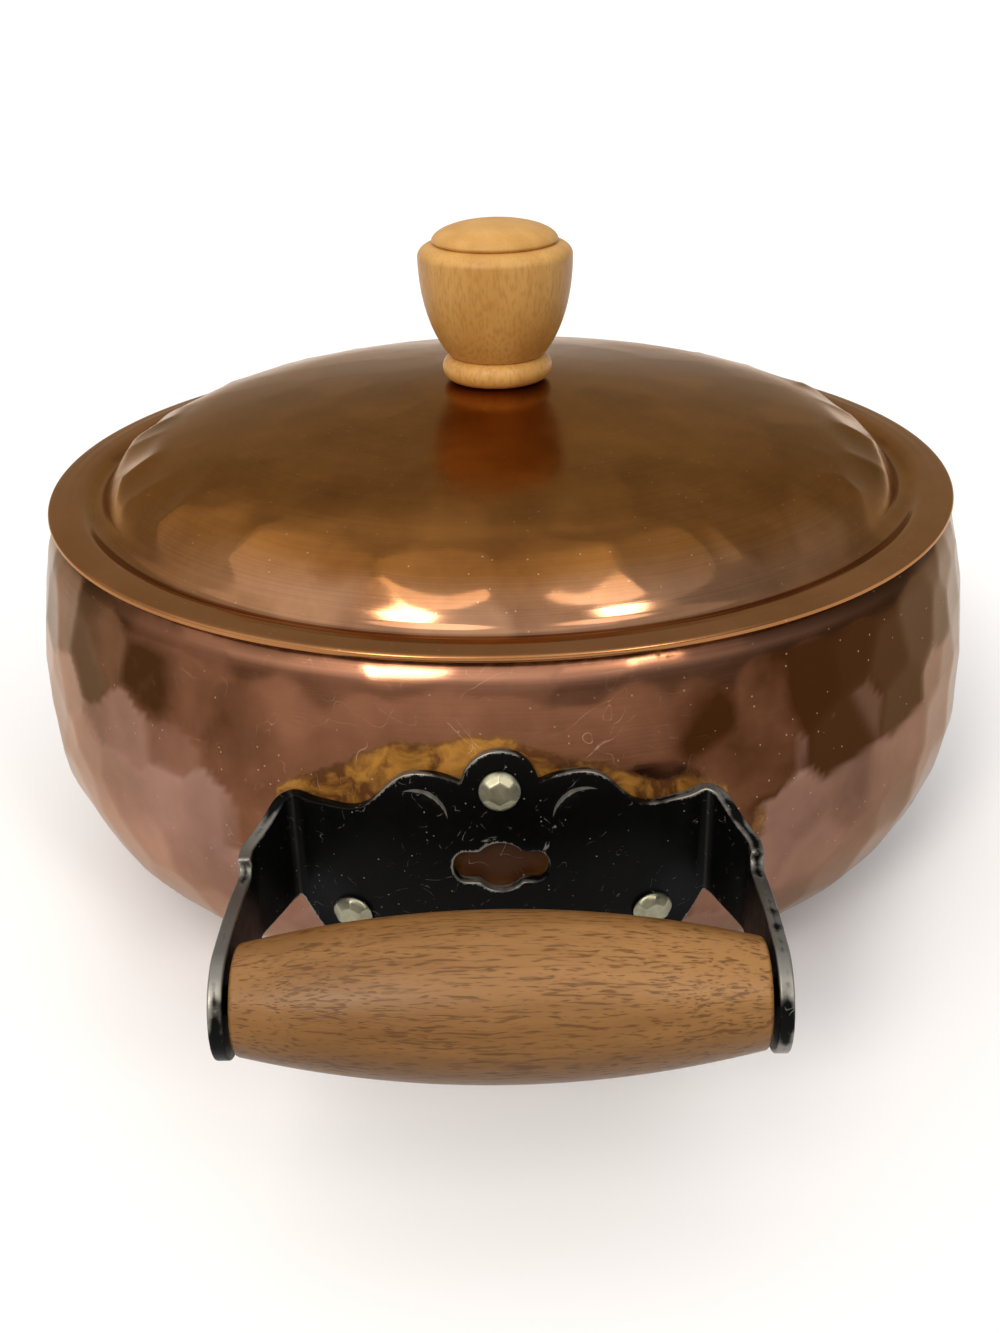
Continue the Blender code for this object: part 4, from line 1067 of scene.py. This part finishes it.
def drawn_back(x, y):
    """Pull the notch back under the tooth: a bell-shaped shift of the blank round the notch."""
    bell = np.exp(-((x - tooth[0]) / notch_bell[0]) ** 2
                  - ((y - (tooth_height + notch_height) / 2 + notch_bell_drop) / notch_bell[1]) ** 2)
    return x - notch_pull * bell, y


def edge_function(line):
    """Height of an edge as a function of distance, from points that never turn back."""
    order = np.maximum.accumulate(line[:, 0]) + np.arange(len(line)) * 1e-10
    return lambda x: np.interp(x, order, line[:, 1])


upper_inset = inset(upper_edge, worn_edge, 1.0)
lower_inset = inset(lower_edge, worn_edge, -1.0)
slot_inset = inset(slot_edge, worn_edge, -1.0)
slot_end = slot_inset[-1, 0]
blank_end = upper_inset[-1, 0]
stations = np.unique(np.concatenate([
    np.arange(0.0, blank_end, bracket_step), even_line(upper_inset, edge_step)[:, 0],
    even_line(slot_inset, slot_step)[:, 0], even_line(lower_inset, edge_step)[:, 0],
    [slot_end, blank_end]]).round(6))
stations = stations[np.concatenate([[True], np.diff(stations) > least_step])]
stations[-1] = blank_end
stations[np.argmin(np.abs(stations - slot_end))] = slot_end
upper_height = edge_function(upper_inset)(stations)
lower_height = edge_function(lower_inset)(stations)
slot_rise = np.where(stations <= slot_end, edge_function(slot_inset)(stations), 0.0)
slot_rise = np.where(stations == slot_end, 0.0, slot_rise)
middle_height = slot_height + (grip_height - slot_height) * np.clip(
    (stations - ear_start) / (blank_end - ear_start), 0.0, 1.0)
upper_height[-1] = lower_height[-1] = middle_height[-1]

band_rows = 22
shares = np.linspace(0.0, 1.0, band_rows)[:, None]
upper_band = (middle_height + slot_rise) * (1 - shares) + upper_height * shares
lower_band = lower_height * (1 - shares) + (middle_height - slot_rise) * shares
across = stations[None, :] + 0.0 * shares

# Struck crescents beside the top rivet: between two round bows that share their tips
crescent_high = np.array((0.0190, 0.0674))
crescent_low = np.array((0.0100, 0.0622))
crescent_rises = (0.0021, 0.0031)
crescent_depth = 0.0004
crescent_ease = 0.0002      # width of the slope at its border, as struck
crescent_bare = 0.00015     # width of the border of the bare metal


def bow_circle(rise):
    """Centre and radius of the round bow between the crescent's tips that stands off by rise."""
    chord = crescent_high - crescent_low
    half = np.hypot(*chord) / 2
    radius = (half ** 2 + rise ** 2) / (2 * rise)
    away = np.array((-chord[1], chord[0])) / (2 * half)
    return (crescent_high + crescent_low) / 2 + away * (rise - radius), radius


bows = [bow_circle(rise) for rise in crescent_rises]


def struck(x, y):
    """Depth of the struck crescents: between the two bows, eased over a fifth of a millimetre."""
    outside = np.hypot(np.abs(x) - bows[0][0][0], y - bows[0][0][1]) - bows[0][1]
    inside = bows[1][1] - np.hypot(np.abs(x) - bows[1][0][0], y - bows[1][0][1])
    near = (np.abs(x) > crescent_low[0] - crescent_depth) & (y > crescent_low[1] - crescent_depth)
    return crescent_depth * np.clip(np.minimum(outside, inside) / crescent_ease, 0.0, 1.0) * near


worn_lines = np.concatenate([upper_edge, lower_edge,
                             slot_edge + (0.0, slot_height),
                             slot_edge * (1.0, -1.0) + (0.0, slot_height)])


def nearest_gap(x, y, block=4000):
    """Distance of each point from the nearest cut edge, taken at every third of its fine points."""
    spots = np.stack([np.abs(x), y], -1).reshape(-1, 2)
    parts = [np.sqrt(((spots[i:i + block, None] - worn_lines[None, ::3]) ** 2).sum(-1).min(1))
             for i in range(0, len(spots), block)]
    return np.concatenate(parts).reshape(x.shape)


def face_sheets(side, mirror):
    """Front or back face of the blank, one half: side is 1 in front and -1 behind."""
    sheets = []
    for band in (upper_band, lower_band):
        x, y = drawn_back(across, band)
        depth = side * bracket_sheet / 2 - (struck(x, y) if side > 0 else 0.0)
        sheets.append({"points": formed(mirror * x, y, depth),
                       "uv": np.stack([mirror * x, y], -1),
                       "values": {"edge": nearest_gap(across, band)}})
    return sheets


def edge_sheet(x, y, out_x, out_y, mirror):
    """The cut edge along points of the faces' border, which lie worn_edge inside the real edge.

    Across the edge the rows run a quarter round from the front face, straight through the
    sheet, and a quarter round to the back face. The distance from the corner is given smaller
    than it is, because wear goes right across the edge.
    """
    turn = np.linspace(0.0, math.pi / 2, 5)
    side_depth = np.array([0.5, 0.0, -0.5]) * (bracket_sheet - 4 * worn_edge)
    out_by = np.concatenate([worn_edge * np.sin(turn), 0.0 * side_depth + worn_edge,
                             worn_edge * np.cos(turn)])[:, None]
    depth = np.concatenate([bracket_sheet / 2 - worn_edge + worn_edge * np.cos(turn), side_depth,
                            -bracket_sheet / 2 + worn_edge - worn_edge * np.sin(turn)])
    from_corner = np.clip(bracket_sheet / 2 - worn_edge - np.abs(depth), 0.0, 1.0)[:, None]
    x, y = drawn_back(x + out_by * out_x, y + out_by * out_y)
    return {"points": formed(mirror * x, y, depth[:, None]), "uv": np.stack([mirror * x, y], -1),
            "values": {"edge": across_edge * from_corner}}


def border(line, x, inward):
    """Outward direction of an edge at given distances, from the normals of its fine line."""
    normals = -inward * line_normals(line)
    order = np.maximum.accumulate(line[:, 0]) + np.arange(len(line)) * 1e-10
    out = np.stack([np.interp(x, order, normals[:, i]) for i in (0, 1)])
    out[:, x == 0.0] = np.sign(out[1, x == 0.0]) * np.array([[0.0], [1.0]])
    out[:, x == blank_end] = np.array([[1.0], [0.0]])
    return out / np.hypot(*out)


slot_stations = stations[stations <= slot_end]
slot_out = border(slot_inset, slot_stations, -1.0)
slot_out[:, -1] = (-1.0, 0.0)
upper_out = border(upper_inset, stations, 1.0)
lower_out = border(lower_inset, stations, -1.0)
slot_top = (middle_height + slot_rise)[stations <= slot_end]
slot_bottom = (middle_height - slot_rise)[stations <= slot_end]
bracket_sheets = []
for mirror in (1.0, -1.0):
    bracket_sheets += face_sheets(1.0, mirror) + face_sheets(-1.0, mirror)
    bracket_sheets += [edge_sheet(stations, upper_height, *upper_out, mirror),
                       edge_sheet(stations, lower_height, *lower_out, mirror),
                       edge_sheet(slot_stations, slot_top, *slot_out, mirror),
                       edge_sheet(slot_stations, slot_bottom, slot_out[0], -slot_out[1], mirror)]

# Black-enamelled steel: a thin satin black coat with a painted sheen, a lighter grey patch, by the
# side rivets, hairline scratches 10 mm long and specks of dust 0.3 mm across. It is worn through to
# grey metal along the cut edges, in patches of 14 mm with a 2.4 mm grain, on the fold and in the
# struck crescents.
black_steel, tree, shader = new_material("black_enamelled_steel")
place = add_node(tree, "TexCoord")["Object"]
flat = add_node(tree, "UVMap", uv_map="flat")["UV"]
edge = add_node(tree, "Attribute", attribute_name="edge")["Fac"]
rub = add_node(tree, "TexNoise", {"Vector": place, "Scale": 420.0, "Detail": 4.0, "Roughness": 0.65})["Fac"]
patch = add_node(tree, "TexNoise", {"Vector": place, "Scale": 70.0, "Detail": 3.0})["Fac"]
mirrored = add_node(tree, "VectorMath", {0: flat}, operation="ABSOLUTE")["Vector"]
low = add_node(tree, "SeparateXYZ", {0: mirrored})
spread = add_node(tree, "MapRange", {"Value": patch, "From Min": 0.34, "From Max": 0.66,
    "To Min": wear_low, "To Max": wear_high})["Result"]
handled = add_node(tree, "MapRange", {"Value": low["X"], "From Min": handled_start,
    "From Max": handled_full, "To Min": 1.0, "To Max": 1.4}, interpolation_type="SMOOTHSTEP")["Result"]
reach = add_node(tree, "Math", {0: rub, 1: spread}, operation="MULTIPLY")[0]
reach = add_node(tree, "Math", {0: reach, 1: handled}, operation="MULTIPLY")[0]
worn = add_node(tree, "Math", {0: reach, 1: edge}, operation="SUBTRACT")[0]
worn = add_node(tree, "MapRange", {"Value": worn, "From Min": 0.0, "From Max": wear_blend},
    interpolation_type="SMOOTHSTEP")["Result"]
gaps = []
for centre, radius in bows:
    gap = add_node(tree, "VectorMath", {0: mirrored, 1: (centre[0], centre[1], 0.0)},
        operation="DISTANCE")["Value"]
    gaps.append(add_node(tree, "Math", {0: gap, 1: radius}, operation="SUBTRACT")[0])
outside, inside = [
    add_node(tree, "MapRange", {"Value": gap, "From Min": 0.0, "From Max": bare})["Result"]
    for gap, bare in zip(gaps, (crescent_bare, -crescent_bare))]
beyond = add_node(tree, "Math", {0: low["Y"], 1: float(crescent_low[1])}, operation="GREATER_THAN")[0]
crescent = add_node(tree, "Math", {0: outside, 1: inside}, operation="MULTIPLY")[0]
crescent = add_node(tree, "Math", {0: crescent, 1: beyond}, operation="MULTIPLY")[0]
folded = add_node(tree, "Math", {0: low["X"], 1: fold_distance}, operation="SUBTRACT")[0]
folded = add_node(tree, "Math", {0: folded}, operation="ABSOLUTE")[0]
folded = add_node(tree, "MapRange", {"Value": folded, "From Min": fold_wear, "From Max": 0.0})["Result"]
folded = add_node(tree, "Math", {0: folded, 1: patch}, operation="MULTIPLY")[0]
folded = add_node(tree, "Math", {0: folded, 1: 0.20}, operation="MULTIPLY")[0]
hair = hairlines(tree, place, 95.0, 2.0, 1.5, 0.0055)
sparse = add_node(tree, "MapRange", {"Value": rub, "From Min": 0.53, "From Max": 0.64})["Result"]
hair = add_node(tree, "Math", {0: hair, 1: sparse}, operation="MULTIPLY")[0]
speck = dust_specks(tree, place, 640.0, 0.10, 0.70)
marks = add_node(tree, "Math", {0: hair, 1: speck}, operation="MAXIMUM")[0]
marks = add_node(tree, "Math", {0: marks, 1: 0.45}, operation="MULTIPLY")[0]
show = add_node(tree, "Math", {0: worn, 1: crescent}, operation="MAXIMUM")[0]
show = add_node(tree, "Math", {0: show, 1: folded}, operation="MAXIMUM")[0]
black_tone_and_painted_sheen = add_node(tree, "Mix", {"Factor": patch, 6: "#020202", 7: "#090909"}, data_type="RGBA")[2]
# Painted sheen: lighter grey beside each side rivet
painted_sheen = add_node(tree, "VectorMath", {0: mirrored,
    1: (side_rivet_distance + painted_sheen_shift[0], side_rivet_height + painted_sheen_shift[1], 0.0)},
    operation="DISTANCE")
painted_sheen = add_node(tree, "MapRange", {"Value": painted_sheen["Value"], "From Min": painted_sheen_reach, "From Max": 0.0,
    "To Max": 0.8}, interpolation_type="SMOOTHSTEP")["Result"]
black_tone_and_painted_sheen = add_node(tree, "Mix", {"Factor": painted_sheen, 6: black_tone_and_painted_sheen, 7: "#1d1e21"}, data_type="RGBA")[2]
tint = add_node(tree, "Mix", {"Factor": show, 6: black_tone_and_painted_sheen, 7: "#7f7c75"}, data_type="RGBA")[2]
tint = add_node(tree, "Mix", {"Factor": marks, 6: tint, 7: "#a8a49a"}, data_type="RGBA")[2]
metal = add_node(tree, "Math", {0: show, 1: 0.85}, operation="MULTIPLY")[0]
gloss = add_node(tree, "MapRange", {"Value": rub, "From Min": 0.3, "From Max": 0.7, "To Min": 0.30,
    "To Max": 0.42})["Result"]
bump = add_node(tree, "Bump", {"Height": rub, "Strength": 0.12, "Distance": 0.0001})["Normal"]
feed(shader, {"Base Color": tint, "Metallic": metal, "Roughness": gloss, "Specular IOR Level": 0.06,
    "Normal": bump})

handle_turns = [("front", 0.0), ("rear", math.pi)]


def turned_round(points, angle):
    """Points turned round the pot's axis by an angle."""
    return points @ np.array(Matrix.Rotation(angle, 3, "Z")).T


for side_name, angle in handle_turns:
    sheets = [dict(sheet, points=turned_round(sheet["points"], angle)) for sheet in bracket_sheets]
    bracket = surface_object(side_name + "_handle_bracket", sheets, [black_steel])
    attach(bracket, "pot")
    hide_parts(side_name + "_bracket")


# Rivets
# Three rivets hold each bracket. The heads outside are hammered to six facets round a small
# flat; the tails inside are round and flat. They are a nickel-grey metal with a green cast.

rivet_radius = 0.0020
rivet_head_radius = 0.0040
rivet_head_edge = 0.0006
rivet_head_height = 0.0019
rivet_flat_radius = 0.0021
rivet_tail_radius = 0.0044
rivet_tail_height = 0.0012
rivet_tail_gap = 0.0007
facet_foot = 0.96           # where the facets meet the rim, as a share of the head's radius
facet_ease = 0.93           # slope of four facets, as a share of the other two's
facet_start = 0.9           # where the facets begin, as a share of the flat's radius
rim_share = 0.7             # height at which the rim turns in, as a share of its edge
rim_width, rim_power = 0.12, 0.35           # share of the radius over which it rounds, and how fast
head_seat = 0.985           # where the head leaves its seat, as a share of its radius
head_seat_rise = 0.3        # and how high it is fully wide, as a share of its edge
tail_flat = 0.55            # flat of the tail's end, as a share of its radius


def rivet_head(seat, columns=72, rows=16):
    """Head of a rivet: at each point the lowest of six sloping planes, the flat and the rim.

    The rows run from the seat at the shank out to the rim, up the rim's edge, and in to the
    middle of the head. A plane falls from the flat to the rim along one of six directions.
    """
    turn = whole_turn(columns, 0.0)
    inward = np.linspace(1.0, 0.0, rows)[:, None]
    radius = rivet_head_radius * inward
    fall = (rivet_head_height - rivet_head_edge) / (rivet_head_radius * facet_foot - rivet_flat_radius)
    planes = [rivet_head_height - fall * (radius * np.cos(turn - math.pi * k / 3)
                                          * (facet_ease if k % 3 else 1.0)
                                          - rivet_flat_radius * facet_start)
              for k in range(6)]
    height = np.minimum(np.min(planes, axis=0), rivet_head_height)
    round_off = np.clip((1.0 - inward) / rim_width, 0.0, 1.0) ** rim_power
    height = np.where(inward == 1.0, rivet_head_edge * rim_share,
                      height * round_off + rivet_head_edge * rim_share * (1 - round_off))
    top = np.stack([radius * np.cos(turn), radius * np.sin(turn), seat + height], -1)
    below = np.array([(rivet_radius, seat), (rivet_head_radius * head_seat, seat),
                      (rivet_head_radius, seat + rivet_head_edge * head_seat_rise)])
    return np.concatenate([np.stack([below[:, :1] * np.cos(turn), below[:, :1] * np.sin(turn),
                                     below[:, 1:] + 0.0 * turn], -1), top])


def rivet_rest(seat, tail, columns=72):
    """Shank and tail head of a rivet, turned from a line that runs in from the seat."""
    turn = whole_turn(columns, 0.0)
    round_tail = arc((rivet_tail_radius * tail_flat, tail),
                     (rivet_tail_radius * (1 - tail_flat), rivet_tail_height), 0.0, -math.pi / 2, 8)
    line = np.concatenate([[(rivet_radius, seat), (rivet_radius, tail)], round_tail,
                           [(0.0, tail - rivet_tail_height)]])
    return np.stack([line[:, :1] * np.cos(turn), line[:, :1] * np.sin(turn),
                     line[:, 1:] + 0.0 * turn], -1)


def rivet_matrix(distance, height, angle):
    """Place of a rivet: local Z is square to the wall, with its zero at the outer face."""
    radius, lean = float(wall_radius(height)), float(wall_lean(height))
    turn = distance / bracket_mid_radius
    along = Vector((math.sin(turn), -math.cos(turn), 0.0))
    outward = along * math.cos(lean) + Vector((0.0, 0.0, math.sin(lean)))
    sideways = Vector((math.cos(turn), math.sin(turn), 0.0))
    axes = Matrix((sideways, outward.cross(sideways), outward)).transposed().to_4x4()
    seat = Matrix.Translation(along * radius + Vector((0.0, 0.0, height)))
    return np.array(Matrix.Rotation(angle, 4, "Z") @ seat @ axes)


# Hammered rivet metal: a soft grey alloy gone slightly green, satin, clouded every 2 mm.
rivet_metal, tree, shader = new_material("hammered_rivet_metal")
place = add_node(tree, "TexCoord")["Object"]
cloud = add_node(tree, "TexNoise", {"Vector": place, "Scale": 500.0, "Detail": 5.0,
    "Roughness": 0.65})["Fac"]
tint = add_node(tree, "Mix", {"Factor": cloud, 6: "#6f6b55", 7: "#b5b39c"}, data_type="RGBA")[2]
gloss = add_node(tree, "MapRange", {"Value": cloud, "To Min": 0.28, "To Max": 0.5})[0]
bump = add_node(tree, "Bump", {"Height": cloud, "Strength": 0.25, "Distance": 0.0001})["Normal"]
feed(shader, {"Base Color": tint, "Metallic": 1.0, "Roughness": gloss, "Normal": bump})

rivet_seat = fit_gap + bracket_sheet + fit_gap
rivet_tail = -bowl_wall - rivet_tail_gap
rivet_grids = [rivet_head(rivet_seat), rivet_rest(rivet_seat, rivet_tail)]
rivet_places = [("top", 0.0, top_rivet_height), ("left", -side_rivet_distance, side_rivet_height),
                ("right", side_rivet_distance, side_rivet_height)]
for side_name, angle in handle_turns:
    for place_name, distance, height in rivet_places:
        spot = rivet_matrix(distance, height, angle)
        sheets = [{"points": grid @ spot[:3, :3].T + spot[:3, 3], "uv": grid[..., :2]}
                  for grid in rivet_grids]
        rivet = surface_object(side_name + "_" + place_name + "_rivet", sheets, [rivet_metal])
        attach(rivet, "pot")
        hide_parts(side_name + "_rivet_" + place_name)


# Grips
# A barrel of brown hardwood, turned on a lathe, oiled, and bored from end to end. It turns freely
# on a steel rod between the bracket's ears.

grip_middle_radius = 0.0148
grip_end_radius = 0.0095
grip_edge_round = 0.0010
rod_radius = 0.0025
running_gap = 0.0004
rod_end_radius = 0.0042
rod_end_height = 0.0013
rod_end_seat = 0.97         # radius at which a rod's end sits on the ear, as a share of its own
grip_columns = 128
rod_columns = 64

half_grip = grip_length / 2
barrel_places = np.linspace(-half_grip + grip_edge_round, half_grip - grip_edge_round, 90)
barrel = np.stack([grip_middle_radius - (grip_middle_radius - grip_end_radius)
                   * (barrel_places / half_grip) ** 2, barrel_places], 1)
edge_turn = np.linspace(0.0, math.pi / 2, 6)[1:]
round_end = np.stack([barrel[-1, 0] - grip_edge_round * (1 - np.cos(edge_turn)),
                      barrel[-1, 1] + grip_edge_round * np.sin(edge_turn)], 1)
bore = rod_radius + running_gap
grip_line = np.concatenate([[(bore, -half_grip)], round_end[::-1] * (1.0, -1.0), barrel,
                            round_end, [(bore, half_grip), (bore, -half_grip)]])


def crosswise(line, columns, angle):
    """A line of (radius, place) points turned round the rod's axis, which lies along X."""
    turn = whole_turn(columns, 0.0)
    points = np.stack([line[:, 1:] + 0.0 * turn, line[:, :1] * np.cos(turn) - grip_reach,
                       line[:, :1] * np.sin(turn) + grip_height], -1)
    return turned_round(points, angle)


# Oiled brown hardwood: dark open pores, from dashes 3 mm long to wavy streaks of 6 mm, run half a
# millimetre apart along the grip, in clumps 5 mm wide over bands of lighter and darker tan 13 mm
# wide. They are drawn a little coarser than they are, to show.
grain_bend, grain_sway = 0.0025, 0.0009     # how far the grain wanders, in long and in short waves
row_share = 0.30            # how much the clumps add to the pores
brown_wood, tree, shader = new_material("oiled_brown_hardwood")
place = add_node(tree, "TexCoord")["Object"]
bend = add_node(tree, "TexNoise", {"Vector": place, "Scale": 22.0, "Detail": 2.0})
bent = add_node(tree, "VectorMath", {0: bend["Color"], 1: (0.0, grain_bend, grain_bend), 2: place},
    operation="MULTIPLY_ADD")["Vector"]
sway = add_node(tree, "TexNoise", {"Vector": place, "Scale": 120.0, "Detail": 1.0})
bent = add_node(tree, "VectorMath", {0: sway["Color"], 1: (0.0, grain_sway, grain_sway), 2: bent},
    operation="MULTIPLY_ADD")["Vector"]
rows = drawn_noise(tree, bent, (22.0, 210.0, 210.0), 3.0)
layers = []
for stretch, low_end, high_end in (((170.0, 1900.0, 1900.0), 0.52, 0.70),
                                   ((360.0, 2500.0, 2500.0), 0.56, 0.72)):
    pore = drawn_noise(tree, bent, stretch, 1.5)
    pore = add_node(tree, "Math", {0: rows, 1: row_share, 2: pore}, operation="MULTIPLY_ADD")[0]
    layers.append(add_node(tree, "MapRange", {"Value": pore, "From Min": low_end + row_share / 2,
        "From Max": high_end + row_share / 2}, interpolation_type="SMOOTHSTEP")["Result"])
pore = add_node(tree, "Math", {0: layers[0], 1: layers[1]}, operation="MAXIMUM")[0]
band = drawn_noise(tree, bent, (9.0, 75.0, 75.0), 4.0, 0.6)
band = add_node(tree, "MapRange", {"Value": band, "From Min": 0.3, "From Max": 0.7})["Result"]
wood = add_node(tree, "Mix", {"Factor": band, 6: "#6b4620", 7: "#9a6f40"}, data_type="RGBA")[2]
pore = add_node(tree, "Math", {0: pore, 1: 0.74}, operation="MULTIPLY")[0]
wood = add_node(tree, "Mix", {"Factor": pore, 6: wood, 7: "#543413"}, data_type="RGBA")[2]
bump = add_node(tree, "Bump", {"Height": pore, "Strength": 0.35, "Distance": 0.00012},
    invert=True)["Normal"]
feed(shader, {"Base Color": wood, "Roughness": 0.36, "Specular IOR Level": 0.25, "Normal": bump})

for side_name, angle in handle_turns:
    grip = surface_object(side_name + "_wood_grip", [{"points": crosswise(grip_line, grip_columns, angle),
        "uv": sheet_uv(grip_line, grip_columns)}], [brown_wood])
    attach(grip, side_name + "_grip")
    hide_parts(side_name + "_grip")


# Grip rods
# A plain steel rod goes through both ears and the grip. Its ends are peened over to low domes,
# which keep it in.

rod_seat = ear_plane + bracket_sheet / 2 + fit_gap
rod_cap = arc((0.0, rod_seat), (rod_end_radius, rod_end_height), math.pi / 2, 0.0, 16)
rod_half = np.concatenate([rod_cap, [(rod_end_radius * rod_end_seat, rod_seat), (rod_radius, rod_seat)]])
rod_line = np.concatenate([rod_half, rod_half[::-1] * (1.0, -1.0)])
for side_name, angle in handle_turns:
    rod = surface_object(side_name + "_rod", [{"points": crosswise(rod_line, rod_columns, angle),
        "uv": sheet_uv(rod_line, rod_columns)}], [bright_steel])
    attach(rod, "pot")
    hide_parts(side_name + "_grip_rod")


# Size
# The box round the finished model, the floor left out.

low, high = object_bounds()
